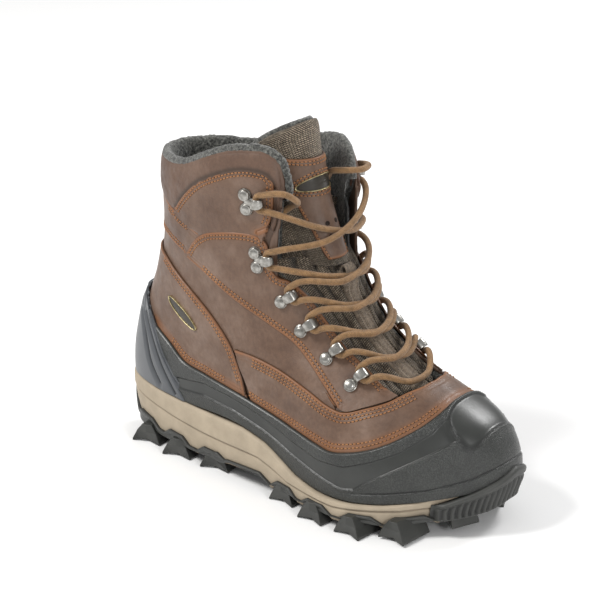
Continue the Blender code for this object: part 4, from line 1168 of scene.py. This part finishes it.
def add_midsole():
    p, plan_x = ring_values(900)
    out = np.interp(plan_x, (-140, -100, 0, 70, 100, 116), (6.5, 5.5, 6, 7, 6, 1.5))
    top = np.interp(plan_x, *zip(*MIDSOLE_EDGE))
    low = np.minimum(lug_edge(plan_x, p) - 3.0, top - 2)
    groove = np.interp(plan_x, (-145, -120, -90, -60, -40, -10, 20, 60, 110),
                       (38, 33, 29, 26, 25, 24, 16, 14.5, 19))
    rows = []
    shade_rows = []
    for t in np.linspace(0, 1, 60):
        z = low + (top - low) * t
        bulge = 0.8 * math.sin(math.pi * t) - 1.9 * max(0.0, (t - 0.93) / 0.07) ** 2 - 0.5 * (1 - t)
        cut = np.exp(-((z - groove) / 0.7) ** 2)
        rows.append(wall(z, out + bulge - 0.75 * cut + 0.5 * step(z, groove, groove + 1.5), p))
        shade_rows.append(cut)
    for inward in (2.5, 6.0, 10.0):
        rows.append(wall(top - 0.4, out - inward, p))
        shade_rows.append(0 * cut)
    points = np.stack(rows, 1)
    # painted shade: darker in the groove cut round the wall, and towards the bottom, where the wall goes
    # under the outsole's edge
    painted_shade = np.stack(shade_rows, 1) * 0.6
    painted_shade[:, 0:8] += 0.5 * np.linspace(1, 0, 8)
    add_grid("midsole_wall", points, "midsole_foam", wrap=True, nodes=("midsole",), slot="midsole_foam",
             masks={"painted_shade": painted_shade})


def add_outsole():
    p, plan_x = ring_values(900)
    out = np.interp(plan_x, (-140, -100, 0, 70, 100, 116), (6.5, 5.5, 6, 7, 6, 3.5))
    edge = lug_edge(plan_x, p)
    ground = LUG_HEIGHT + spring(plan_x)
    arch = step(plan_x, -48, -36) * (1 - step(plan_x, -6, 4))
    base = ground + 2.5 * arch
    flare = np.interp(plan_x, (-140, -120, -60, 0, 60, 98, 116), (8, 5, 4, 6, 8, 8, 4))
    rows = [wall(base + 0.4, flare - 14, p), wall(base + 0.2, flare - 5, p), wall(base, flare - 0.6, p)]
    for t in np.linspace(0, 1, 12):
        z = base + 0.3 + (edge - base - 0.3) * t
        width = flare * (1 - t) + (out + 2.2) * t
        rows.append(wall(z, width + 0.35 * math.sin(3 * math.pi * t), p))
    rows.append(wall(edge + 0.5, out + 1.4, p))
    rows.append(wall(edge + 0.2, out - 0.6, p))
    points = np.stack(rows, 1)
    # painted shade on the top two rows, where the wrap's edge turns in against the midsole
    painted_shade = np.zeros(points.shape[:2])
    painted_shade[:, -2:] = 0.6
    piece = add_grid("outsole_wrap", points, "sole_rubber", wrap=True, nodes=("outsole",), slot="sole_rubber",
                     masks={"stipple": 0.35 + 0 * painted_shade, "painted_shade": painted_shade})
    half = len(p) // 2
    edge_row = points[:, 0]
    sole = np.stack([edge_row[(half + np.arange(half + 1)) % len(p)],
                     edge_row[(half - np.arange(half + 1)) % len(p)]], 1)
    t = np.linspace(0, 1, 14)[None, :, None]
    plate = sole[:, :1] * (1 - t) + sole[:, 1:] * t
    add_grid("outsole_plate", plate[:, ::-1], "sole_rubber", slot="sole_rubber",
             masks={"stipple": 0.5 + 0 * plate[..., 0], "painted_shade": 0 * plate[..., 0]})
    add_lugs()
    return piece


LUG_HEIGHT = 8.0
LUG_LEVELS = ((0.0, 1.05, -3.6), (1.6, 1.05, -3.2), (8.5, 0.72, 0.8), (13.5, 0.34, 1.6))


def lug_places():
    """x, y, turn, length, width and the side of the pointed face of each lug."""
    for x, outer, inner in ((-122, 31, 31), (-90, 37, 35), (-56, 38, 34)):
        yield x, -outer + 9.5, 0.12, 21, 25, -1
        yield x, inner - 9.5, -0.12, 21, 25, 1
    for x, outer, inner in ((14, 53, 33), (45, 64, 42), (76, 67, 48), (104, 58, 47)):
        yield x, -outer + 11, -0.1, 19, 27, -1
        yield x, inner - 10, 0.1, 19, 25, 1
        if x < 100:
            yield x + 14, -8, 0.0, 15, 26, 0
    yield 126, -17, -0.4, 14, 21, -1
    yield 128, 23, 0.4, 14, 21, 1


def add_lugs():
    """Tapered lugs. The outward face of each is a ridge between two slanted facets."""
    points, faces = [], []
    for x, y, turn, length, width, side in lug_places():
        lift = float(spring(x))
        start = len(points)
        for z, grow, point in LUG_LEVELS:
            outline = [(-0.5, -0.5), (0.0, -0.5), (0.5, -0.5), (0.5, 0.5), (0.0, 0.5), (-0.5, 0.5)]
            for index, (u, v) in enumerate(outline):
                a, b = u * length * grow, v * width * (0.75 + 0.25 * grow)
                notched = side and index == (1 if side < 0 else 4)
                b += side * point * notched
                points.append((x + a * math.cos(turn) - b * math.sin(turn),
                               y + a * math.sin(turn) + b * math.cos(turn),
                               z + lift + 2.4 * notched * (z < 0.1)))
        for k in range(3):
            for i in range(6):
                a, b = start + k * 6 + i, start + k * 6 + (i + 1) % 6
                faces.append((a, b, b + 6, a + 6))
        faces.append(tuple(start + i for i in range(6))[::-1])
        faces.append(tuple(start + 18 + i for i in range(6)))
    piece = build("outsole_lugs", points, faces, "sole_rubber", slot="sole_rubber", sharp=24)
    soft = piece.modifiers.new("soft_edges", "BEVEL")
    soft.width = 0.7 * MM
    soft.segments = 2
    soft.limit_method = "ANGLE"
    soft.angle_limit = math.radians(20)


def add_bumper():
    """The toe bumper: a thick rubber wrap with upright ribs between two smooth rims."""
    p = np.linspace(0.80, 1.2, 420)
    wrapped = (p + 1) % 2 - 1
    share = 1 - np.abs(1 - p) / 0.2
    low, high = 11.0 + 7 * share, np.interp(share, (0, 0.25, 0.6, 1), (22, 28, 36, 43))
    fade = step(share, 0.0, 0.12)
    ribs = 0.5 + 0.5 * np.cos((p - 1) * 2 * math.pi / 0.0155)
    rows, shade_rows = [], []
    for t in np.linspace(0, 1, 46):
        z = low + (high - low) * t
        band = float(step(t, 0.04, 0.12) * (1 - step(t, 0.62, 0.72)))
        rim = math.sqrt(max(0.0, 1 - max(0.0, (t - 0.86) / 0.14) ** 2))
        height = 3.6 + 4.2 * fade * rim - 1.3 * band * fade * (1 - ribs ** 0.6) - 1.5 * max(0.0,
                1 - t / 0.08) ** 2
        height = height - 0.9 * fade * math.exp(-((t - 0.7) / 0.05) ** 2)
        rows.append(wall(z, height, wrapped))
        # painted shade in the grooves between the ribs
        shade_rows.append(band * (1 - ribs) * 0.8)
    points = np.stack(rows, 1)
    add_grid("toe_guard", points, "sole_rubber", 2.5, nodes=("toe_bumper",), slot="sole_rubber",
             masks={"stipple": 0.15 + 0 * points[..., 0], "painted_shade": np.stack(shade_rows, 1)})


# ---- felt lining ------------------------------------------------------------------------------
OPENING = ((-125, 205), (-76, 209), (-53, 219), (-37, 225), (-24, 227), (-13, 227), (-6, 223), (-2, 212),
           (-1, 203), (-4, 186), (-9, 172), (-6, 152), (3, 147), (15, 139), (26, 127), (48, 105), (59, 98),
           (75, 87), (84, 83.5), (88, 84), (92, 86))


def opening_edge(s, side):
    """p of the front opening's edge at the levels s."""
    found = trace(OPENING[5:-3], side, 120)
    order = np.argsort(found[:, 0])
    return np.interp(s, found[order, 0], np.abs(found[order, 1]))


def edge_rise(points, away):
    """The way past a grid's last column: in the surface and square to its edge."""
    rim = np.gradient(points[:, -1], axis=0)
    rise = np.cross(rim, away)
    along = points[:, -1] - points[:, -8]
    rise *= np.where((rise * along).sum(-1, keepdims=True) < 0, -1, 1)
    rise += 1e-3 * along
    for _ in range(4):
        rise[1:-1] = (rise[:-2] + 2 * rise[1:-1] + rise[2:]) / 4
    return rise / np.linalg.norm(rise, axis=-1, keepdims=True)


def add_lining():
    """Felt that rises from inside, stands a little above the collar and turns out over its edge."""
    lowest = ((-150, 29), (-60, 29), (-10, 24), (40, 18.5), (100, 18.5), (150, 26))
    inside = joined(lowest, OPENING, 420, 1 - (1 - np.linspace(0, 1, 90)) ** 1.6)
    s, p = inside[..., 0], inside[..., 1]
    base = skin(s, p)
    away = outward(s, p)
    near_top = np.linspace(0, 1, 90) ** 6
    depth = -9.2 + 1.0 * near_top[None, :] + 0.0 * s
    points = base + away * depth[..., None]
    rise = edge_rise(points, away[:, -1])
    high = step(base[:, -1, 2], 150, 192)[:, None, None]
    turn = np.linspace(0, math.pi * 0.95, 14)[1:]
    radius = 3.5
    roll = points[:, -1:] + high * rise[:, None] * 1.6 + radius * (
        rise[:, None] * np.sin(turn)[None, :, None] * (0.4 + 0.9 * high)
        + away[:, -1][:, None] * (1 - np.cos(turn))[None, :, None])
    points = np.concatenate([points, roll], axis=1)
    normals = np.concatenate([-away, np.repeat(rise[:, None], len(turn), axis=1)], axis=1)
    fuzz = 0.3 * waves(points, 3.1, 21) + 0.22 * waves(points, 1.9, 22) + 0.3 * waves(points, 9, 23)
    points = points + normals * fuzz[..., None]
    add_grid("felt_lining", points[:, ::-1], "felt", nodes=("lining",), slot="felt")


# ---- tongue ------------------------------------------------------------------------------------
def pillow(levels, reach, front, back, round_top, count=120, rows=90):
    """A padded layer of the upper tongue between two depths, with rounded sides and top."""
    up = levels[0] + (levels[1] - levels[0]) * spread(rows, 0.6)
    angle = np.linspace(0, 2 * math.pi, count, endpoint=False)[:, None]
    squash = np.sqrt(np.clip(1 - np.clip((up - levels[1] + round_top) / round_top, 0, 1) ** 2.6, 0.0004,
                             1))[None, :]
    shape = np.sign(np.cos(angle)) * np.abs(np.cos(angle)) ** 0.55
    across = shape * reach * (0.35 + 0.65 * squash) + 0 * up[None, :]
    full = np.sign(np.sin(angle)) * np.abs(np.sin(angle)) ** 0.6
    middle, half = (front + back) / 2, (front - back) / 2
    depth = middle + half * full * squash
    level = np.broadcast_to(up[None, :], across.shape)
    points = tongue_skin(level, across) + tongue_outward(level, across) * depth[..., None]
    return closed_ends(points)


FELT_LIFT = 1.6


def add_upper_tongue():
    body = "tongue"
    points = pillow((0.0, 1.0), 0.97, 0.6, -4.4, 0.12)
    # painted shade: the mesh is darker towards its bottom, where it lies under the lace and between the
    # facings
    top = step(points[..., 2], 150, 245)
    points = points + 0.25 * waves(points, 14, 31)[..., None] * (0, 0, 1)
    front = add_grid("tongue_mesh", points, "mesh", wrap=True, body=body, nodes=("tongue_upper",),
                     slot="textile",
             masks={"painted_shade": 0.35 * (1 - top)})
    points = pillow((0.05, 1.0), 1.0, -2.2, -9.0, 0.1)
    points = points + FELT_LIFT * step(points[..., 2], 190, 240)[..., None] * (0, 0, 1)
    fuzz = 0.28 * waves(points, 3.1, 41) + 0.2 * waves(points, 1.9, 42)
    back = add_grid("tongue_felt", points + fuzz[..., None] * (0.7, 0, 0.7), "felt", wrap=True, body=body,
                    slot="felt")
    add_tongue_leather(body)


def tongue_top(across):
    """How far up the tongue its leather reaches: high at the sides, dipping in the middle."""
    return 0.725 + np.where(across > 0, 0.23, 0.12) * np.abs(across) ** 2.4


LEATHER_START = 0.055


def add_tongue_leather(body):
    t = spread(80, 0.7)
    u = spread(120, 0.7) * 2 - 1
    up = LEATHER_START + (0.80 - LEATHER_START) * t
    width = np.interp(up, (0.0, 0.1, 0.3, 0.55, 0.8), (0.36, 0.43, 0.5, 0.66, 0.93))
    across = u[::-1, None] * width[None, :]
    level = LEATHER_START + (tongue_top(across) - LEATHER_START) * t[None, :]
    base = tongue_skin(level, across)
    away = tongue_outward(level, across)
    border = [base[0], base[-1], base[:, 0], base[:, -1]]
    d = distance(base, border)
    inside = 1 - np.clip(d / 1.2, 0, 1)
    height = 0.9 + 1.4 * np.sqrt(1 - inside ** 2) - 0.2 * np.exp(-((d - 2.2) / 0.6) ** 2)
    height = height + 0.12 * waves(base, 20, 8)
    points = base + away * height[..., None]
    edge = 0.8 * np.exp(-((d - 0.7) / 1.2) ** 2)
    # painted shade: a dark line along the leather's edges, where it meets the mesh
    painted_shade = 0.8 * np.exp(-(d / 0.4) ** 2)
    add_grid("tongue_leather", points, "leather", 1.0, body=body, nodes=("tongue_overlay",), slot="leather",
             masks={"edge": edge, "painted_shade": painted_shade})
    tree = BVHTree.FromPolygons([Vector(q) for q in points.reshape(-1, 3)], quads(*points.shape[:2]))
    rows = []
    for inset, edge_rows in ((2.2, (0, 1, 2)), (4.2, (2,))):
        for which in edge_rows:
            line = (border[0], border[1], border[3])[which]
            inner = (base[1], base[-2], base[:, -2])[which]
            inwards = inner - line
            inwards /= np.linalg.norm(inwards, axis=1, keepdims=True)
            rows.append(stitches_along(line + inwards * inset, (away[0], away[-1], away[:, -1])[which], 2.4))
    rows += badge_rings((5.0, 6.9))
    add_stitches("tongue_stitching", rows, body=body, surface=tree)
    for number, (up, across) in enumerate(VENTS):
        frame = (tongue_skin(up, across), Vector((0, 1, 0)), None, tongue_outward(up, across))
        up_way = np.cross(frame[3], (0, 1, 0))
        frame = (frame[0], np.cross(up_way, frame[3]), up_way, frame[3])
        # painted shade: each vent is a near-black cup that stands for the shade in its opening
        cup = revolve(frame, (0, 0, 0), ((1.75, 2.1), (1.6, 2.75), (1.3, 2.75), (1.15, 2.6), (0.02, 2.55)))
        add_grid(f"tongue_vent_{number + 1}", cup, "hole_shade", wrap=True, body=body, slot="leather")
    add_badge("tongue_plate", tongue_badge_frame(), 17.0, 4.6, body, ("tongue_badge",))


def stitches_along(line, normals, pitch):
    along = np.gradient(line, axis=0)
    along /= np.maximum(np.linalg.norm(along, axis=1, keepdims=True), 1e-6)
    travel = np.concatenate([[0], np.cumsum(np.linalg.norm(np.diff(line, axis=0), axis=1))])
    count = int(travel[-1] / pitch)
    wanted = (np.arange(count) + 0.5) * travel[-1] / max(count, 1)

    def at(values):
        return np.stack([np.interp(wanted, travel, column) for column in values.T], 1)

    return at(line), at(along), at(normals)


BADGE_UP = 0.56
VENTS = ((0.33, 0.14), (0.33, -0.14), (0.25, 0.14), (0.25, -0.14))


def tongue_badge_frame():
    """How the tongue's badge lies: a function from x along it and y up it to a point and a normal."""

    def at(x, y):
        across = -x / 31.0
        up = BADGE_UP + y / 95.0 + 0.0 * x
        return tongue_skin(up, across), tongue_outward(up, across)

    return at


def badge_rings(sizes):
    at = tongue_badge_frame()
    rows = []
    for size in sizes:
        angle = np.linspace(0, 2 * math.pi, 90)
        points, normals = at((12.5 + size) * np.cos(angle), (0.3 + size) * np.sin(angle))
        rows.append(stitches_along(points, normals, 2.4))
    return rows


def add_badge(name, at, long, high, body, nodes, lift=2.2):
    """A plain oval plate in a metal frame, bent to what it lies on."""
    angle = np.linspace(0, 2 * math.pi, 96, endpoint=False)[:, None]
    for part, finish, profile_rows in (
        ("rim", "brass", ((1.0, -0.6), (1.0, 0.5), (0.99, 0.9), (0.95, 1.1), (0.90, 1.05), (0.87, 0.7),
                          (0.86, 0.3))),
        ("field", "badge", ((0.88, 0.45), (0.8, 0.5), (0.6, 0.62), (0.4, 0.7), (0.2, 0.74), (0.02, 0.75))),
    ):
        size, height = (np.array(column)[None, :] for column in zip(*profile_rows))
        x = (long - high * (1 - size)) * np.cos(angle) * np.where(size < 0.88, size / 0.88, 1)
        y = (high - high * (1 - size)) * np.sin(angle)
        points, normals = at(x, y)
        points = points + normals * (lift + height)[..., None]
        add_grid(f"{name}_{part}", points, finish, wrap=True, body=body,
                 nodes=nodes if part == "rim" else (), slot="badge",
                 masks={"edge": 0 * points[..., 0], "painted_shade": 0 * points[..., 0]})


def add_heel_badges(tree):
    for side, word in ((1, "lateral"), (-1, "medial")):
        s, p = locate(np.array([-96.0, -67.5]), np.array([114.0, 97.5]))
        start, end = skin(s, side * p)
        s, p = locate(-82.0, 106.3)
        centre, away = skin(s, side * p), outward(s, side * p)
        along = end - start
        along -= away * (along @ away)
        along /= np.linalg.norm(along)
        up = np.cross(away, along) * side

        def at(x, y):
            flat = centre + x[..., None] * along + y[..., None] * up * side
            points = np.empty_like(flat)
            normals = np.empty_like(flat)
            for index in np.ndindex(flat.shape[:-1]):
                hit = tree.ray_cast(Vector(flat[index] + away * 12), Vector(-away), 30)
                points[index], normals[index] = (flat[index], away) if hit[0] is None else (hit[0], away)
            return points, normals

        add_badge(f"{word}_heel_plate", at, 16.5, 4.0, "boot", (f"heel_badge_{word}",), lift=0.25)


def add_front():
    """The lower tongue and its side folds: one textile sheet with creases, and a webbing down its middle."""
    s = np.linspace(0.325, 0.70, 190)
    t = np.linspace(-1, 1, 170)[:, None]
    outer, inner = opening_edge(s, 1), opening_edge(s, -1)
    p = np.where(t > 0, 1 - t * (1 - outer + 0.012), 1 - t * (1 - inner + 0.012)) + 0 * s
    level = np.broadcast_to(s, p.shape)
    side = np.abs(t)
    height = -10.2 + 7.6 * step(side, 0.55, 1.0) + 1.8 * np.exp(-((side - 0.42) / 0.14) ** 2) + 0 * level
    for crease, depth, width in ((0.27, 2.4, 0.035), (0.57, 3.0, 0.04), (0.79, 2.6, 0.035)):
        height = height - depth * np.exp(-((side - crease - 0.015 * np.sin(level * 60)) / width) ** 2)
    height = height - 6.5 * step(level, 0.64, 0.685) * (1 - step(side, 0.55, 0.9))
    base = skin(level, p)
    height = height + 0.35 * waves(base, 12, 12)
    points = base + outward(level, p) * height[..., None]
    # painted shade in the creases
    creased = sum(np.exp(-((side - c) / w) ** 2) for c,
                  w in ((0.27, 0.04), (0.57, 0.045), (0.79, 0.04))) + 0 * level
    add_grid("tongue_textile", points, "textile", 1.0,
             nodes=("tongue_lower", "lateral_gusset", "medial_gusset"),
             slot="textile", masks={"painted_shade": 0.8 * creased})
    t = spread(60, 0.6)[:, None] * 2 - 1
    s = np.linspace(0.335, 0.672, 150)
    p = 1 - t * 0.052 + 0 * s
    level = np.broadcast_to(s, p.shape)
    height = -8.9 - 0.9 * np.abs(t) ** 6 + 0.35 * np.cos(t * 9.4) + 0 * level
    height = height + 2.6 * np.exp(-((level - 0.64) / 0.02) ** 2)
    base = skin(level, p)
    points = base + outward(level, p) * height[..., None]
    # painted shade along the strip's sides, where it meets the textile
    add_grid("tongue_webbing_strip", points, "webbing", 1.0, nodes=("tongue_webbing",), slot="textile",
             masks={"painted_shade": 0.4 * np.abs(t) ** 8 + 0 * level})
    rows = [stitches_along(points[row], outward(level[row], p[row]), 2.6) for row in (27, 33)]
    add_stitches("webbing_stitching", rows, finish="webbing", slot="textile", radius=0.4)
    add_keeper()


def add_keeper():
    """A folded loop of webbing at the top of the strip, which the lace passes through."""
    centre = skin(0.655, 1.0)
    away = outward(np.float64(0.655), np.float64(1.0))
    up = skin(0.67, 1.0) - skin(0.64, 1.0)
    up -= away * (up @ away)
    up /= np.linalg.norm(up)
    frame = (centre, up, np.cross(away, up), away)
    path = ((-9.0, -7.6), (-4.0, -6.6), (1.0, -4.6), (5.2, -3.6), (7.2, -5.4), (5.4, -8.2), (0.0, -9.0),
            (-6.0, -9.4))
    loop = closed_ends(band_along(frame, path, (7.0, 6.4, 5.4, 5.0, 4.8, 5.0, 5.6, 6.0), 1.4))
    add_grid("keeper_loop", loop, "webbing", wrap=True, slot="textile",
             masks={"painted_shade": 0 * loop[..., 0]})


def add_side_folds():
    """Textile that joins the facings to the upper tongue, with a sagging fold between them."""
    for side, word in ((1, "lateral"), (-1, "medial")):
        s = np.linspace(0.655, 0.80 if side > 0 else 0.79, 90)
        edge = opening_edge(s, side)
        t = np.linspace(0, 1, 70)[:, None]
        outer = skin(s, side * (edge - 0.03)) + outward(s, side * (edge - 0.03)) * -3.0
        up = np.interp(s, (s[0], s[-1]), (0.02, 0.5))
        target = tongue_skin(up, side * 0.78) + tongue_outward(up, side * 0.78) * -1.6
        points = outer[None] * (1 - t[..., None]) + target[None] * t[..., None]
        inwards = np.array([-1.0, 0.0, -0.25])
        sag = 2.2 * np.sin(math.pi * t) + 1.4 * np.exp(-((t - 0.45) / 0.09) ** 2)
        points = points + sag[..., None] * inwards
        grid = points if side > 0 else points[::-1]
        # painted shade along the fold's crease
        piece = add_grid(word + "_fold", grid, "textile", 1.0, body=None, slot="textile",
                         masks={"painted_shade": 0.7 * np.exp(-((np.broadcast_to(t,
                                 grid.shape[:2]) - 0.45) / 0.1) ** 2)})
        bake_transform(piece)


# ---- hooks, loops and rivets -----------------------------------------------------------------
def in_frame(frame, u, v, n):
    centre, forward, up, away = frame
    return centre + forward * u + up * v + away * n


def revolve(frame, centre, rows, count=28):
    """Points of a round cap: rows of (radius, height)."""
    angle = np.linspace(0, 2 * math.pi, count, endpoint=False)[:, None]
    radius, height = (np.array(column)[None, :] for column in zip(*rows))
    _, forward, up, away = frame
    return (in_frame(frame, *centre)[None, None] + forward * (radius * np.cos(angle))[..., None]
            + up * (radius * np.sin(angle))[..., None] + away * (height + 0 * angle)[..., None])


CAP = ((3.75, -0.7), (3.75, 0.25), (3.55, 0.7), (3.2, 0.86), (2.85, 0.78), (2.65, 0.8), (2.3, 1.02),
       (1.6, 1.22), (0.8, 1.32), (0.02, 1.35))


def band_along(frame, path, halves, thick):
    """A metal strap in the u, n plane: path of (u, n), half width at each point, rounded across."""
    path = smoothed(path, 40)
    halves = np.interp(np.linspace(0, 1, 40), np.linspace(0, 1, len(halves)), halves)
    along = np.gradient(path, axis=0)
    along /= np.linalg.norm(along, axis=1, keepdims=True)
    normal = np.stack([-along[:, 1], along[:, 0]], 1)
    section = []
    for angle in np.linspace(0, 2 * math.pi, 20, endpoint=False):
        c, s = math.cos(angle), math.sin(angle)
        section.append((math.copysign(abs(c) ** 0.45, c), math.copysign(abs(s) ** 0.6, s)))
    points = np.empty((20, 40, 3))
    for i, (across, out) in enumerate(section):
        for j in range(40):
            u, n = path[j] + normal[j] * out * thick / 2
            points[i, j] = in_frame(frame, u, across * halves[j], n)
    return points


def closed_ends(points):
    """A wrapped grid with its ends drawn together."""
    first, last = points[:, :1].mean(axis=0, keepdims=True), points[:, -1:].mean(axis=0, keepdims=True)
    return np.concatenate([np.broadcast_to(first, points[:, :1].shape), points,
                           np.broadcast_to(last, points[:, :1].shape)], 1)


def add_fittings():
    for side, word in ((1, "lateral"), (-1, "medial")):
        for row in range(len(FITTING_ROWS)):
            frame = fitting_frame(row, side)
            hook = row < HOOK_ROWS
            kind = "hook" if hook else "loop"
            spots = (-4.7, 4.7) if hook else (0.0,)
            name = f"{word}_{kind}_{row + 1}"
            grids = []
            if hook:
                for v in spots:
                    grids.append(revolve(frame, (-5.0, v, 0),
                                         ((4.5, 0.4), (4.5, 1.7), (4.1, 2.2), (0.02, 2.3))))
                path = ((-5.5, 2.0), (-2.0, 2.2), (2.5, 2.1), (5.6, 2.5), (7.6, 4.2), (7.7, 6.2),
                        (6.2, 8.0), (3.4, 8.3), (0.9, 7.9))
                widths = (4.6, 3.2, 2.5, 2.4, 2.4, 2.5, 3.1, 3.4, 2.7)
                grids.append(closed_ends(band_along(frame, path, widths, 1.5)))
                grids.append(closed_ends(band_along(frame, ((-5.2, 2.6), (-2.2, 3.1), (0.4, 2.7)),
                                                    (1.6, 2.3, 1.2), 1.1)))
            else:
                plate = revolve(frame, (-5.0, 0, 0),
                                ((0.02, 2.2), (3.2, 2.2), (4.1, 2.0), (4.4, 1.6), (4.4, 0.4)))
                grids.append(plate[:, ::-1])
                path = ((-5.0, 2.1), (-1.5, 2.4), (-0.4, 4.2), (0.0, 6.6), (1.8, 8.1), (4.6, 8.4),
                        (7.2, 7.6), (8.1, 5.6),
                        (8.0, 3.0), (6.8, 1.9), (2.0, 1.8))
                grids.append(closed_ends(band_along(frame, path,
                        (3.6, 3.1, 2.7, 2.6, 3.0, 3.5, 3.4, 2.9, 2.8, 2.9, 2.7), 1.4)))
            points, faces, start = [], [], 0
            for grid in grids:
                points.append(grid.reshape(-1, 3))
                faces += (np.asarray(quads(grid.shape[0], grid.shape[1], True)) + start).tolist()
                start += grid.shape[0] * grid.shape[1]
            build(name + "_metal", np.concatenate(points), faces, "nickel", nodes=(name,), slot="nickel",
                  sharp=50)
            for number, v in enumerate(spots):
                rivet = f"{word}_rivet_{row + 1}" + ("ab"[number] if hook else "")
                cap = revolve(frame, (-5.0, v, 2.9), CAP)
                add_grid(rivet + "_cap", cap, "nickel", wrap=True, nodes=(rivet,), slot="nickel")


# ---- lace -----------------------------------------------------------------------------------
def lace_route():
    """The lace's centreline: the CAD route, rounded, every 0.6 mm."""
    return resample(smoothed(lace_points(), 900), 2300)


def add_lace():
    route = lace_route()
    along = np.gradient(route, axis=0)
    along /= np.linalg.norm(along, axis=1, keepdims=True)
    frame_up = np.array([0.2, 0.1, 1.0])
    ups = []
    for direction in along:
        frame_up = frame_up - direction * (direction @ frame_up)
        frame_up = frame_up / np.linalg.norm(frame_up)
        ups.append(frame_up)
    ups = np.array(ups)
    sides = np.cross(along, ups)
    travel = np.concatenate([[0], np.cumsum(np.linalg.norm(np.diff(route, axis=0), axis=1))])
    count = 20
    angle = np.linspace(0, 2 * math.pi, count, endpoint=False)[:, None]
    twist = travel[None, :] * 2 * math.pi / 9.0
    strands = np.abs(np.sin(4 * (angle + twist))) * np.abs(np.sin(4 * (angle - twist)))
    radius = LACE_DIAMETER / 2 * (0.955 + 0.09 * strands)
    radius = radius * (1 + 0.02 * np.sin(travel / 5.1))
    points = (route[None] + sides[None] * (radius * np.cos(angle))[...,
            None] + ups[None] * (radius * np.sin(angle))[..., None])
    uv = np.stack([np.broadcast_to(travel, radius.shape),
                   np.broadcast_to(angle / (2 * math.pi) * 13.2, radius.shape)], -1)
    points = closed_ends(points)
    uv = np.concatenate([uv[:, :1], uv, uv[:, -1:]], 1)
    piece = add_grid("braided_lace", points, "lace_cord", wrap=True, nodes=("lace",), slot="lace_cord", uv=uv)


def paint_nodes():
    """Gives the CAD nodes that stay, mostly hidden ones, their materials."""
    for name, finish in (("insole_board", "board"), ("heel_counter", "board"), ("footbed", "footbed"),
                         ("insulation", "insulation"), ("aglet_lateral", "nickel"),
                         ("aglet_medial", "nickel")):
        node = frame["nodes"][name]
        for index in range(len(node.data.materials)):
            node.material_slots[index].material = MATERIALS[finish]


def main():
    MATERIALS.update(add_materials())
    add_camera()
    add_lace()
    add_studio()
    add_midsole()
    add_outsole()
    add_bumper()
    add_shell()
    add_stabiliser()
    add_upper()
    tree = surface_tree()
    add_seams(tree)
    add_heel_badges(tree)
    add_lining()
    add_front()
    add_upper_tongue()
    add_side_folds()
    add_fittings()
    paint_nodes()


main()
